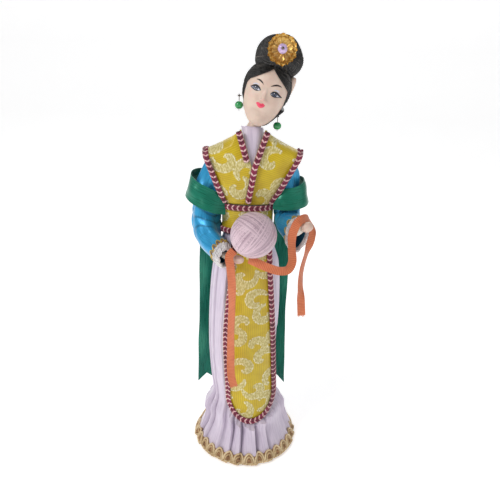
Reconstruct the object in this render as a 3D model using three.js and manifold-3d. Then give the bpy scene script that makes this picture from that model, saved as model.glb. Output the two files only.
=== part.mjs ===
// A court-lady doll, 300 mm tall, in silk clothes on a round base.
// Millimetres, +Z up. The doll faces -Y, and the origin is the centre of the base's underside.
// "left" and "right" are the doll's own sides: its left hand is on +X.
import * as THREE from "three";
import { mergeVertices } from "three/addons/utils/BufferGeometryUtils.js";
import Module from "manifold-3d";

const wasm = await Module();
wasm.setup();

// ---- Driving dimensions ----
const GAP = 0.3; // between pieces that touch
const CLOTH = 0.9; // thickness of one layer of cloth with its lining
const BRAID_WIDTH = 4;
const BRAID_THICK = 1.2;
const SATIN_WIDTH = 15; // the green shawl ribbon
const SATIN_THICK = 0.6;
const CORD_RIBBON_WIDTH = 5.5; // the orange ribbon
const CORD_RIBBON_THICK = 0.7;
const FELT_THICK = 1;
const BOARD_THICK = 3;
const BOARD_INSET = 2.2; // the board's edge, in from the felt's
const BASE_RADIUS = 36.6;
const BODY_SIDES = 28; // facets round the body
const POST_X = -1.4;
const POST_RADIUS = 2.5;
const POST_TOP = 236;
const WAIST_BOTTOM = 174.6;
const WAIST_TOP = 191;
const TORSO_TOP = 233;
const HEAD_TILT = THREE.MathUtils.degToRad(17.5);
const HEAD_CENTRE = new THREE.Vector3(6.8, 0, 264.1);
const PEG_RADIUS = 1.5;
const BALL_CENTRE = new THREE.Vector3(2, -35, 178.5);
const BALL_RADIUS = 15;
const BEAD_RADIUS = 2.6;
const ROSETTE = new THREE.Vector3(15.9, -11.4, 289.5);

// Offsets of the layers of clothing, outwards from the padded body.
const SKIRT_OUT = GAP + CLOTH;
const COLLAR_OUT = GAP + 0.7;
const VEST_IN = COLLAR_OUT + GAP;
const VEST_OUT = VEST_IN + CLOTH;
const APRON_IN = SKIRT_OUT + 3.5 * GAP; // the skirt is faceted, so its apron stands a little off it
const APRON_OUT = APRON_IN + CLOTH;
const BAND_IN = VEST_OUT + GAP;
const BAND_OUT = BAND_IN + CLOTH;
const TRIM_IN = BAND_OUT + GAP;
const TRIM_OUT = TRIM_IN + BRAID_THICK;

// The padded body's sections: height, centre x, half width, half depth.
const BODY_SECTIONS = [
  [0, 0, 37.4, 37.4],
  [8, 0, 33.4, 33.2],
  [16, 0, 29, 28.4],
  [26, -0.3, 24.8, 23.4],
  [38, -1, 22.4, 19.8],
  [60, -2.8, 23.2, 18.8],
  [85, -3.9, 24, 18.8],
  [120, -3.4, 24.2, 18.3],
  [150, -2.8, 22.2, 17],
  [162, -2.6, 18.4, 14.4],
  [174, -2.5, 15, 10.8],
  [194, -2.4, 14.6, 10.2],
  [208, -1.6, 14, 11.2],
  [222, -1, 13, 10.6],
  [232, -1, 11, 8.5],
  [243, -1, 6.2, 5.6],
];

// The head's sections along its own axis: height, centre y, half width, half depth.
const HEAD_SECTIONS = [
  [-20, -10.4, 2.6, 2],
  [-18, -9.3, 5.8, 4.6],
  [-15, -7.5, 8.5, 6.5],
  [-11, -4.5, 11, 9.5],
  [-6, -2, 12.7, 12],
  [0, -0.8, 13.7, 13.3],
  [6, -0.3, 14, 13.7],
  [11, 0, 12.9, 12.8],
  [16, 0.3, 9.8, 9.8],
  [19.5, 0.3, 5, 5],
];

// ---- Small tools ----

function lerp(a, b, t) {
  return a + (b - a) * t;
}

function vec(x, y, z) {
  return new THREE.Vector3(x, y, z);
}

// A section table read at any height, smooth between its rows.
function sectionReader(rows) {
  const heights = rows.map((row) => row[0]);
  return (z) => {
    const last = rows.length - 1;
    let i = heights.findIndex((height) => height > z) - 1;
    if (i < -1) i = last - 1;
    i = Math.max(0, Math.min(i, last - 1));
    const span = heights[i + 1] - heights[i];
    const t = THREE.MathUtils.clamp((z - heights[i]) / span, 0, 1);
    const slope = (k, column) => {
      const low = Math.max(0, k - 1);
      const high = Math.min(last, k + 1);
      return (rows[high][column] - rows[low][column]) / (heights[high] - heights[low]);
    };
    return [1, 2, 3].map((column) => {
      const a = rows[i][column];
      const b = rows[i + 1][column];
      const ma = slope(i, column) * span;
      const mb = slope(i + 1, column) * span;
      const t2 = t * t;
      const t3 = t2 * t;
      return a * (2 * t3 - 3 * t2 + 1) + ma * (t3 - 2 * t2 + t) + b * (3 * t2 - 2 * t3) + mb * (t3 - t2);
    });
  };
}

const bodyAt = sectionReader(BODY_SECTIONS);
const headAt = sectionReader(HEAD_SECTIONS);

// A point on the body, turned "angle" from the front towards +X, "out" beyond its surface.
function bodyPoint(angle, z, out) {
  const [x, a, b] = bodyAt(z);
  return vec(x + Math.sin(angle) * (a + out), -Math.cos(angle) * (b + out), z);
}

// The y of the body's front, "out" beyond it, over the place x.
function frontY(x, z, out) {
  const [centre, a, b] = bodyAt(z);
  const side = THREE.MathUtils.clamp((x - centre) / (a + out), -0.98, 0.98);
  return -(b + out) * Math.sqrt(1 - side * side);
}

function headPoint(angle, t, out) {
  const [y, a, b] = headAt(t);
  return vec(Math.sin(angle) * (a + out), y - Math.cos(angle) * (b + out), t);
}

// Triangles given as points, made into one closed mesh that faces outwards.
function closedGeometry(triangles) {
  const volume = triangles.reduce((sum, [a, b, c]) => sum + a.dot(b.clone().cross(c)), 0);
  if (volume < 0) triangles = triangles.map(([a, b, c]) => [a, c, b]);
  const positions = new Float32Array(triangles.flat().flatMap((p) => [p.x, p.y, p.z]));
  const geometry = new THREE.BufferGeometry();
  geometry.setAttribute("position", new THREE.BufferAttribute(positions, 3));
  return mergeVertices(geometry, 1e-4);
}

// Rings of points joined into a solid. A closed path joins the last ring to the first.
function loft(rings, closedPath = false) {
  const triangles = [];
  const count = rings[0].length;
  const joints = closedPath ? rings.length : rings.length - 1;
  for (let r = 0; r < joints; r++) {
    const low = rings[r];
    const high = rings[(r + 1) % rings.length];
    for (let k = 0; k < count; k++) {
      const next = (k + 1) % count;
      triangles.push([low[k], low[next], high[next]], [low[k], high[next], high[k]]);
    }
  }
  if (!closedPath) {
    const cap = (ring, flip) => {
      const centre = ring.reduce((sum, p) => sum.add(p), vec(0, 0, 0)).divideScalar(count);
      for (let k = 0; k < count; k++) {
        const next = ring[(k + 1) % count];
        triangles.push(flip ? [centre, next, ring[k]] : [centre, ring[k], next]);
      }
    };
    cap(rings[0], true);
    cap(rings[rings.length - 1], false);
  }
  return closedGeometry(triangles);
}

// A sheet with a front and a back surface, given as functions of u (across) and v (along), 0 to 1.
function sheet(front, back, columns, rows) {
  const triangles = [];
  const quad = (a, b, c, d) => triangles.push([a, b, c], [a, c, d]);
  for (let j = 0; j < rows; j++) {
    for (let i = 0; i < columns; i++) {
      const [u0, u1] = [i / columns, (i + 1) / columns];
      const [v0, v1] = [j / rows, (j + 1) / rows];
      quad(front(u0, v0), front(u1, v0), front(u1, v1), front(u0, v1));
      quad(back(u0, v0), back(u0, v1), back(u1, v1), back(u1, v0));
    }
  }
  for (let i = 0; i < columns; i++) {
    const [u0, u1] = [i / columns, (i + 1) / columns];
    quad(back(u0, 0), back(u1, 0), front(u1, 0), front(u0, 0));
    quad(front(u0, 1), front(u1, 1), back(u1, 1), back(u0, 1));
  }
  for (let j = 0; j < rows; j++) {
    const [v0, v1] = [j / rows, (j + 1) / rows];
    quad(front(0, v0), front(0, v1), back(0, v1), back(0, v0));
    quad(back(1, v0), back(1, v1), front(1, v1), front(1, v0));
  }
  return closedGeometry(triangles);
}

// A flat band along a smooth line through the points. "outward" gives its face's direction at a place.
function band(points, outward, width, thick, steps) {
  const curve = new THREE.CatmullRomCurve3(points, false, "centripetal");
  const rings = [];
  for (let s = 0; s <= steps; s++) {
    const t = s / steps;
    const centre = curve.getPointAt(t);
    const along = curve.getTangentAt(t);
    const out = outward(centre);
    out.addScaledVector(along, -out.dot(along)).normalize();
    const across = along.clone().cross(out);
    rings.push(
      [
        [-1, -1],
        [-1, 1],
        [1, 1],
        [1, -1],
      ].map(([i, j]) =>
        centre
          .clone()
          .addScaledVector(across, (i * width) / 2)
          .addScaledVector(out, (j * thick) / 2),
      ),
    );
  }
  return loft(rings);
}

// A round or oval bar along a smooth line. "radii" gives two half widths at t: the first lies across
// both the line and X, so it is the depth of a hanging bar and the height of one that points forwards.
function bar(points, radii, steps, sides) {
  const side = vec(1, 0, 0);
  const curve = new THREE.CatmullRomCurve3(points, false, "centripetal");
  const rings = [];
  for (let s = 0; s <= steps; s++) {
    const t = s / steps;
    const along = curve.getTangentAt(t);
    const first = side.clone().cross(along).normalize();
    const second = along.clone().cross(first);
    const [rx, ry] = radii(t);
    const ring = [];
    for (let k = 0; k < sides; k++) {
      const angle = (2 * Math.PI * k) / sides;
      const p = curve.getPointAt(t);
      ring.push(p.addScaledVector(first, rx * Math.cos(angle)).addScaledVector(second, ry * Math.sin(angle)));
    }
    rings.push(ring);
  }
  return loft(rings);
}

function solid(geometry, matrix = null) {
  const bare = geometry.clone();
  bare.deleteAttribute("normal");
  bare.deleteAttribute("uv");
  if (matrix) bare.applyMatrix4(matrix);
  const merged = mergeVertices(bare, 1e-4);
  return new wasm.Manifold(
    new wasm.Mesh({
      numProp: 3,
      vertProperties: merged.attributes.position.array,
      triVerts: new Uint32Array(merged.index.array),
    }),
  );
}

function geometryOf(made) {
  const mesh = made.getMesh();
  const geometry = new THREE.BufferGeometry();
  geometry.setAttribute("position", new THREE.BufferAttribute(mesh.vertProperties, 3));
  geometry.setIndex(new THREE.BufferAttribute(mesh.triVerts, 1));
  return geometry;
}

function cut(geometry, ...tools) {
  return geometryOf(tools.reduce((made, tool) => made.subtract(solid(tool)), solid(geometry)));
}

function upright(radius, low, high, sides = 16) {
  const geometry = new THREE.CylinderGeometry(radius, radius, high - low, sides);
  return geometry.rotateX(Math.PI / 2).translate(0, 0, (low + high) / 2);
}

function block(x0, x1, y0, y1, z0, z1) {
  const geometry = new THREE.BoxGeometry(x1 - x0, y1 - y0, z1 - z0);
  return geometry.translate((x0 + x1) / 2, (y0 + y1) / 2, (z0 + z1) / 2);
}

const root = new THREE.Group();

function add(name, geometry, colour, roughness = 0.8, metalness = 0, parent = root) {
  const material = new THREE.MeshStandardMaterial({ color: colour, roughness, metalness });
  const mesh = new THREE.Mesh(geometry, material);
  mesh.name = name;
  parent.add(mesh);
  return mesh;
}

const COLOUR = {
  felt: "#3b3b40",
  board: "#b08d5c",
  wadding: "#e8e2d4",
  satinWhite: "#e6ddec",
  brocade: "#d0bc2a",
  braid: "#8c2348",
  gimp: "#c59a55",
  blue: "#2f9fd0",
  lace: "#e7e3dc",
  skin: "#e2c3b0",
  green: "#00684f",
  orange: "#e2855a",
  pink: "#d9b6bf",
  hair: "#15120f",
  gold: "#d8a13a",
  lilac: "#c9b3dc",
  bead: "#1f9a55",
  wire: "#6f665c",
};

// ---- Base and body ----

// A hollow wrap round the body, closed on itself through its inner face.
function bodyRing(z, out) {
  return Array.from({ length: BODY_SIDES }, (_, k) => bodyPoint((2 * Math.PI * k) / BODY_SIDES, z, out));
}

function bodyWrap(heights, inner, outer) {
  const outside = heights.map((z) => bodyRing(z, outer));
  const inside = heights.map((z) => bodyRing(z, inner)).reverse();
  return loft([...outside, ...inside], true);
}

function sectionHeights(low, high) {
  return BODY_SECTIONS.map((row) => row[0]).filter((z) => z > low + 2 && z < high - 2);
}

function bodyCore(low, high) {
  const heights = [low, ...sectionHeights(low, high), high];
  const rings = heights.map((z) => bodyRing(z, -2 * GAP));
  const bore = upright(POST_RADIUS + GAP, low - 1, high + 1).translate(POST_X, 0, 0);
  return cut(loft(rings), bore);
}

const BOARD_LOW = FELT_THICK + GAP;
const BOARD_HIGH = BOARD_LOW + BOARD_THICK;
const CORE_LOW = BOARD_HIGH + GAP;
const TORSO_LOW = 178;

function addBaseAndBody() {
  add("base_felt", upright(BASE_RADIUS, 0, FELT_THICK, 48), COLOUR.felt, 1);
  const bore = upright(POST_RADIUS + GAP, 0, BOARD_HIGH + 1).translate(POST_X, 0, 0);
  const board = upright(BASE_RADIUS - BOARD_INSET, BOARD_LOW, BOARD_HIGH, 48);
  add("base_board", cut(board, bore), COLOUR.board, 0.8);
  add("body_post", upright(POST_RADIUS, BOARD_LOW, POST_TOP).translate(POST_X, 0, 0), COLOUR.board, 0.7);
  add("skirt_core", bodyCore(CORE_LOW, TORSO_LOW - GAP), COLOUR.wadding, 0.9);
  add("torso_core", bodyCore(TORSO_LOW, TORSO_TOP), COLOUR.wadding, 0.9);
}

// ---- Skirt, hem and apron ----

const HEM_TOP = 11;
const SKIRT_TOP = 177;
const SKIRT_HEIGHTS = [BOARD_LOW, ...sectionHeights(BOARD_LOW, SKIRT_TOP), SKIRT_TOP];

function addSkirt() {
  add("skirt", bodyWrap(SKIRT_HEIGHTS, GAP, SKIRT_OUT), COLOUR.satinWhite, 0.5);
  add("hem_gimp", bodyWrap([GAP, 5, HEM_TOP], APRON_IN - GAP, APRON_IN + 0.9), COLOUR.gimp, 0.5, 0.4);
}

// The apron's centre and half width at a height, and its rounded lower end.
const APRON_TOP = 172;
const APRON_TIP = 27;
const APRON_ROUND = 20;

function apronCentre(z) {
  return lerp(4.7, 1.2, THREE.MathUtils.smoothstep(z, 30, 110));
}

function apronHalfWidth(z) {
  const straight = lerp(19.6, 14.2, THREE.MathUtils.smoothstep(z, 85, 172));
  const drop = Math.max(0, APRON_TIP + APRON_ROUND - z) / APRON_ROUND;
  return straight * Math.sqrt(Math.max(0.0004, 1 - drop * drop));
}

function apronHeight(v) {
  const bend = APRON_ROUND * (1 - Math.cos((Math.min(v, 0.25) / 0.25) * (Math.PI / 2)));
  return APRON_TIP + bend + Math.max(0, (v - 0.25) / 0.75) * (APRON_TOP - APRON_TIP - APRON_ROUND);
}

function apronSurface(out) {
  return (u, v) => {
    const z = apronHeight(v);
    const x = apronCentre(z) + (2 * u - 1) * apronHalfWidth(z);
    return vec(x, frontY(x, z, out), z);
  };
}

// A braid that follows an edge. "edge" gives a place on the cloth for t from 0 to 1 and for how
// far in from the edge (0 at the edge, 1 at the braid's inner side), at a depth "out".
function edgeBraid(edge, inner, outer, steps) {
  return sheet(
    (u, v) => edge(v, u, outer),
    (u, v) => edge(v, u, inner),
    1,
    steps,
  );
}

function apronEdge(t, across, out) {
  const turn = (t - 0.5) * 2;
  const side = Math.sign(turn) || 1;
  const size = Math.abs(turn);
  const v = size < 0.3 ? (0.25 * size) / 0.3 : 0.25 + (0.75 * (size - 0.3)) / 0.7;
  const z = apronHeight(v);
  const edge = vec(apronCentre(z) + side * apronHalfWidth(z), 0, z);
  const centre = vec(apronCentre(z), 0, Math.max(z, APRON_TIP + APRON_ROUND));
  const inward = centre.sub(edge).normalize();
  const place = edge.addScaledVector(inward, across * BRAID_WIDTH);
  return vec(place.x, frontY(place.x, place.z, out), place.z);
}

function addApron() {
  add("apron", sheet(apronSurface(APRON_OUT), apronSurface(APRON_IN), 8, 18), COLOUR.brocade, 0.6);
  const braid = edgeBraid(apronEdge, APRON_OUT + GAP, APRON_OUT + GAP + BRAID_THICK, 40);
  add("apron_braid", braid, COLOUR.braid, 0.8);
}

// ---- Vest ----

const SHOULDER_TIP = 34;
const SHOULDER_TIP_Z = 228;
const NECK_SIDE = 8.6;
const NECK_SIDE_Z = 243;
const CROSSING = vec(-0.3, 0, 219); // where the lapels meet
const LAPEL_LOW = vec(-4.4, 0, WAIST_TOP + 2.4);
const WAIST_HALF = 17.4;
const WAIST_SHIFT = -2.4; // the waist leans to the doll's right
const SEAM_HALF = 0.2; // front and back panels meet this far either side of the shoulder line
const ARMHOLE_DEPTH = [4.2, 8.2]; // how far forward the armhole's edge stands, at the waist and above
const ARMHOLE_DEPTH_Z = 206; // where it has reached its full depth
const NECK_STAND = 9; // the neckline stays upright this far above the shoulder line
const NECK_STAND_X = [9.5, 15]; // from full stand to none
const SHOULDER_ROLL = 7; // how far below the shoulder line the cloth starts to roll over it

const SHOULDER_CURVE = 0.75; // below 1, the shoulder falls faster near the neck

function shoulderZ(x) {
  const t = (Math.abs(x) - NECK_SIDE) / (SHOULDER_TIP - NECK_SIDE);
  const fall = THREE.MathUtils.clamp(Math.pow(Math.max(t, 0), SHOULDER_CURVE), 0, 1.02);
  return lerp(NECK_SIDE_Z - 1, SHOULDER_TIP_Z, fall);
}

// How far out the armhole edge is at a height, from the waist up to the shoulder's tip.
function armholeX(z) {
  const t = (z - LAPEL_LOW.z) / (SHOULDER_TIP_Z - LAPEL_LOW.z);
  return lerp(WAIST_HALF, SHOULDER_TIP, THREE.MathUtils.clamp(t, 0, 1));
}

// The vest's y at a place, "out" beyond the body, on the front (face -1) or the back (face 1).
function vestY(x, z, out, face) {
  const [centre, , depth] = bodyAt(z);
  const across = Math.min(1, Math.abs(x - centre) / (armholeX(z) + Math.abs(centre)));
  const raise = THREE.MathUtils.smoothstep(z, LAPEL_LOW.z, ARMHOLE_DEPTH_Z);
  const edge = lerp(...ARMHOLE_DEPTH, raise) + out - VEST_IN;
  const middle = Math.max(depth + out, edge);
  const stand = NECK_STAND * (1 - THREE.MathUtils.smoothstep(Math.abs(x), ...NECK_STAND_X));
  const drop = THREE.MathUtils.clamp((shoulderZ(x) + stand - z) / SHOULDER_ROLL, 0, 1);
  const roll = Math.sqrt(1 - (1 - drop) * (1 - drop));
  return face * (SEAM_HALF + lerp(middle, edge, across * across) * roll);
}

// The inner edge of each front panel, from the waist (v = 0) to the shoulder (v = 1).
function overlapX(z) {
  const low = (z - LAPEL_LOW.z) / (CROSSING.z - LAPEL_LOW.z);
  const high = (z - CROSSING.z) / (NECK_SIDE_Z - CROSSING.z);
  return high < 0 ? lerp(LAPEL_LOW.x, CROSSING.x, low) : lerp(CROSSING.x, NECK_SIDE - 0.8, high);
}

function underlapX(z) {
  const high = (z - CROSSING.z) / (NECK_SIDE_Z - CROSSING.z);
  return high < 0 ? overlapX(z) - GAP : lerp(CROSSING.x - GAP, -NECK_SIDE + 0.4, high);
}

function panelSurface(innerX, side, out, face) {
  return (u, v) => {
    const inner = vec(innerX(lerp(LAPEL_LOW.z, NECK_SIDE_Z, v)), 0, lerp(LAPEL_LOW.z, NECK_SIDE_Z, v));
    const outerZ = lerp(LAPEL_LOW.z, SHOULDER_TIP_Z, v);
    const outer = vec(side * armholeX(outerZ) + (1 - v) * WAIST_SHIFT, 0, outerZ);
    const place = inner.lerp(outer, u);
    place.z = Math.min(place.z, lerp(place.z, shoulderZ(place.x), v));
    return vec(place.x, vestY(place.x, place.z, out, face), place.z);
  };
}

function panel(innerX, side, face) {
  return sheet(panelSurface(innerX, side, VEST_OUT, face), panelSurface(innerX, side, VEST_IN, face), 6, 9);
}

const LAPEL_SLOPE = 0.3; // how much the lapel's braid drops across its width

function lapelEdge(innerX, side, low) {
  return (t, across, out) => {
    const z = lerp(low, NECK_SIDE_Z - 1.4, t);
    const x = innerX(z) + side * across * BRAID_WIDTH;
    const height = z - across * BRAID_WIDTH * LAPEL_SLOPE;
    return vec(x, vestY(x, height, out, -1), height);
  };
}

const SHOULDER_RISE = 2.4; // how much higher the braid's inner side is at the shoulder's tip
const SHOULDER_TURN = 24; // how sharply the braid turns over the tip

// The armhole's edge runs up the front from the waist, over the shoulder's tip and down the back.
function armholeEdge(side) {
  return (t, across, out) => {
    const face = t < 0.5 ? -1 : 1;
    const climb = 1 - Math.abs(t - 0.5) * 2;
    const z = lerp(LAPEL_LOW.z, SHOULDER_TIP_Z - GAP, climb);
    const edgeX = armholeX(z) + 2 * GAP;
    const x = side * (edgeX - across * BRAID_WIDTH * 1.1) + (1 - climb) * WAIST_SHIFT;
    const top = SHOULDER_TIP_Z + out - VEST_OUT + across * SHOULDER_RISE;
    const height = lerp(z, top, Math.pow(climb, SHOULDER_TURN));
    return vec(x, vestY(x, Math.min(height, shoulderZ(x)), out, face), height);
  };
}

function addVest() {
  add("vest_front_left", panel(overlapX, 1, -1), COLOUR.brocade, 0.6);
  add("vest_front_right", panel(underlapX, -1, -1), COLOUR.brocade, 0.6);
  const half = (side) => solid(panel(() => -side * SEAM_HALF, side, 1));
  add("vest_back", geometryOf(half(1).add(half(-1))), COLOUR.brocade, 0.6);
  const [low, high] = [VEST_OUT + 3 * GAP, VEST_OUT + 3 * GAP + BRAID_THICK];
  const leftEdge = lapelEdge(overlapX, 1, LAPEL_LOW.z + 1.4);
  const rightEdge = lapelEdge(underlapX, -1, CROSSING.z + 3.2);
  add("lapel_braid_left", edgeBraid(leftEdge, low, high, 20), COLOUR.braid);
  add("lapel_braid_right", edgeBraid(rightEdge, low, high, 12), COLOUR.braid);
  for (const [sideName, side] of Object.entries({ left: 1, right: -1 })) {
    add("armhole_braid_" + sideName, edgeBraid(armholeEdge(side), low, high, 30), COLOUR.braid);
  }
}

function addWaist() {
  add("waistband", bodyWrap([WAIST_BOTTOM, 180, 186, WAIST_TOP], BAND_IN, BAND_OUT), COLOUR.brocade, 0.6);
  for (const [name, z] of [
    ["waist_braid_lower", WAIST_BOTTOM],
    ["waist_braid_upper", WAIST_TOP],
  ]) {
    const ring = bodyWrap([z - BRAID_WIDTH / 2, z + BRAID_WIDTH / 2], TRIM_IN, TRIM_OUT);
    add(name, ring, COLOUR.braid);
  }
}

function addCollar() {
  const surface = (out) => (u, v) => {
    const top = NECK_SIDE_Z + 0.3 + 3.2 * Math.max(0, 1 - 4 * u);
    const z = lerp(CROSSING.z - 2, top, v);
    const centre = lerp(CROSSING.x, -1, v);
    const x = centre + (2 * u - 1) * lerp(1.2, 7.4, v);
    return vec(x, frontY(x, Math.min(z, NECK_SIDE_Z), out), z);
  };
  add("inner_collar", sheet(surface(COLLAR_OUT), surface(GAP), 6, 8), COLOUR.satinWhite, 0.5);
}

// ---- Arms, sleeves, cuffs and hands ----

const ARMS = {
  right: {
    line: [
      [-22.4, 0.3, 225.8],
      [-26.6, 0.5, 211],
      [-31, 0.3, 195],
      [-31.8, -2, 179],
      [-27.6, -11, 168],
      [-19.4, -23, 162],
    ],
    cuff: [10.2, 6.4],
    widths: [7.4, 8.8, 9.1],
    hand: [-7.9, -30.2, 160.2],
    wrist: [-12.6, -28.6, 160.2],
    handSize: [4.2, 2.9, 2.9],
  },
  left: {
    line: [
      [20.4, 0.3, 225.8],
      [23.8, 0.5, 211],
      [25.8, 0.3, 197],
      [25.8, -2, 186],
      [26.2, -9.5, 179.4],
      [30.4, -20.2, 176.6],
    ],
    cuff: [11.8, 7.2],
    widths: [7, 8, 8.8],
    hand: [36.4, -29.4, 183.4],
    wrist: [33.6, -26, 181],
    handSize: [3.9, 3.7, 3.4],
  },
};
const SLEEVE_WALL = 0.8;
const SLEEVE_DEPTH = [6.6, 8]; // half the sleeve's depth at the shoulder and at the elbow
const ELBOW = 0.62; // how far along the sleeve the flare to the cuff begins
const ARM_RADIUS = 3.1;
const WRIST_RADIUS = 2;
const WRIST_START = 0.8;
const CUFF_DEPTH = 4;

// The sleeve's half depth and half width along it. "widths" are at the shoulder, the upper arm and the elbow.
function sleeveRadius(arm, grow) {
  return (t) => {
    const depth = lerp(...SLEEVE_DEPTH, THREE.MathUtils.smoothstep(t, 0.05, ELBOW));
    const [shoulder, upper, elbow] = arm.widths;
    const above = lerp(shoulder, upper, THREE.MathUtils.smoothstep(t, 0, ELBOW / 2));
    const width = lerp(above, elbow, THREE.MathUtils.smoothstep(t, ELBOW / 2, ELBOW));
    const flare = THREE.MathUtils.smoothstep(t, ELBOW, 1);
    return [lerp(depth, arm.cuff[0], flare) + grow, lerp(width, arm.cuff[1], flare) + grow];
  };
}

function linePoints(rows) {
  return rows.map(([x, y, z]) => vec(x, y, z));
}

function extended(points, before, after) {
  const first = points[0].clone().sub(points[1]).setLength(before).add(points[0]);
  const last = points[points.length - 1];
  const end = last.clone().sub(points[points.length - 2]).setLength(after).add(last);
  return [first, ...points.slice(1, -1), end];
}

function addArm(sideName, arm) {
  const points = linePoints(arm.line);
  const outer = bar(points, sleeveRadius(arm, 0), 10, 12);
  const hollow = bar(extended(points, 1, 1), sleeveRadius(arm, -SLEEVE_WALL), 10, 12);
  add("sleeve_" + sideName, cut(outer, hollow), COLOUR.blue, 0.35);
  const end = points[points.length - 1];
  const along = end.clone().sub(points[points.length - 2]).normalize();
  const trim = (grow, low, high) => {
    const line = [low, high].map((reach) => end.clone().addScaledVector(along, reach));
    return bar(line, () => arm.cuff.map((half) => half + grow), 1, 14);
  };
  const lace = cut(trim(0.2, GAP, CUFF_DEPTH), trim(-0.9, GAP - 1, CUFF_DEPTH + 1));
  add("cuff_lace_" + sideName, lace, COLOUR.lace, 0.8);
  const wrist = vec(...arm.wrist);
  const armLine = [...points, wrist];
  const round = (t) => Array(2).fill(t > WRIST_START ? WRIST_RADIUS : ARM_RADIUS);
  add("arm_" + sideName, bar(armLine, round, 12, 8), COLOUR.wadding);
  const centre = vec(...arm.hand);
  const reach = centre.clone().sub(wrist);
  const hand = new THREE.SphereGeometry(1, 12, 8).scale(...arm.handSize);
  hand.rotateZ(Math.atan2(reach.y, reach.x)).translate(centre.x, centre.y, centre.z);
  const wristBore = bar(armLine, () => Array(2).fill(WRIST_RADIUS + 0.5), 12, 8);
  add("hand_" + sideName, cut(hand, wristBore), COLOUR.skin, 0.6);
}

// ---- Ball and its ribbon ----

function addBall() {
  const core = new THREE.SphereGeometry(BALL_RADIUS - 2.2, 14, 8).rotateX(Math.PI / 2);
  core.translate(BALL_CENTRE.x, BALL_CENTRE.y, BALL_CENTRE.z);
  add("ball_core", core, COLOUR.wadding, 0.9);
  const profile = [];
  const steps = 7;
  const opening = 0.12;
  for (let s = 0; s <= steps; s++) {
    const angle = lerp(opening, Math.PI - opening, s / steps) - Math.PI / 2;
    profile.push(new THREE.Vector2(BALL_RADIUS * Math.cos(angle), BALL_RADIUS * Math.sin(angle)));
  }
  for (let s = steps; s >= 0; s--) {
    const angle = lerp(opening, Math.PI - opening, s / steps) - Math.PI / 2;
    const radius = BALL_RADIUS - 1.6 + GAP;
    profile.push(new THREE.Vector2(radius * Math.cos(angle), radius * Math.sin(angle)));
  }
  profile.push(profile[0].clone());
  const winding = new THREE.LatheGeometry(profile, 16).rotateX(Math.PI / 2);
  winding.translate(BALL_CENTRE.x, BALL_CENTRE.y, BALL_CENTRE.z);
  add("ball_winding", winding, COLOUR.pink, 0.5);
}

// The orange ribbon's lines, each a list of places by hand.
const RIBBON_LINES = {
  ribbon_tail_right: [
    [-10.4, -34.2, 167.6],
    [-13.2, -35.4, 164],
    [-12.4, -36, 157],
    [-11.3, -35, 145],
    [-11.1, -34, 132],
    [-11.4, -33.2, 110],
    [-11.4, -33, 92],
    [-10.8, -33.4, 74],
    [-8.6, -34, 64.8],
  ],
  ribbon_swag: [
    [4, -40.4, 161.8],
    [11.4, -42.2, 159.6],
    [19, -41.6, 157.2],
    [25.3, -40, 157.4],
    [29.4, -37.6, 161],
    [28.8, -35.4, 170],
    [28.9, -34, 180],
    [30.4, -33.6, 186.6],
  ],
  ribbon_tail_left: [
    [40.6, -24.2, 182],
    [40.4, -25.4, 176],
    [37.6, -27.6, 166],
    [35, -28.6, 154],
    [34.6, -28.4, 144],
    [35.6, -28, 133.5],
    [36.9, -28, 119.6],
  ],
};

function addRibbon() {
  for (const [name, rows] of Object.entries(RIBBON_LINES)) {
    const facing = () => vec(0, -1, 0.05);
    const steps = rows.length * 3;
    add(name, band(linePoints(rows), facing, CORD_RIBBON_WIDTH, CORD_RIBBON_THICK, steps), COLOUR.orange);
  }
  const over = linePoints([
    [31.6, -33.6, 188.8],
    [33, -31, 190.6],
    [35.6, -27.4, 189.8],
    [38.6, -24.6, 185.6],
  ]);
  const upwards = () => vec(0.35, -0.2, 1);
  add("ribbon_wrap_left", band(over, upwards, CORD_RIBBON_WIDTH, CORD_RIBBON_THICK, 6), COLOUR.orange);
}

// ---- Green shawl ribbon ----

const LOOPS = {
  right: { side: -1, centre: [-31.6, 0.6, 203.4], radius: [12.4, 11] },
  left: { side: 1, centre: [27.6, 0.6, 200.4], radius: [11, 11] },
};
const LOOP_SWEEP = [-0.25, 2.75]; // angle round the arm where a loop starts and ends
const TAILS = {
  right: {
    top: [-30.4, 12.6, 191],
    line: [
      [-31, 13.4, 150],
      [-31.4, 14, 110],
      [-32.6, 15.6, 70],
      [-33.4, 17, 36],
    ],
    facing: [0.4, -1, 0],
  },
  left: {
    top: [24.4, 12.6, 188],
    line: [
      [23, 14.6, 150],
      [22.6, 15.6, 110],
      [23.6, 16.6, 70],
      [25.2, 18.4, 36],
    ],
    facing: [-0.4, -1, 0],
  },
};

// The loop round an arm: from the inside of the arm, across its front, round its outside, to its back.
function loopPoint(loop, angle) {
  const [x, y, z] = loop.centre;
  const [rx, ry] = loop.radius;
  return vec(x + loop.side * rx * Math.sin(angle), y - ry * Math.cos(angle), z);
}

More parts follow.
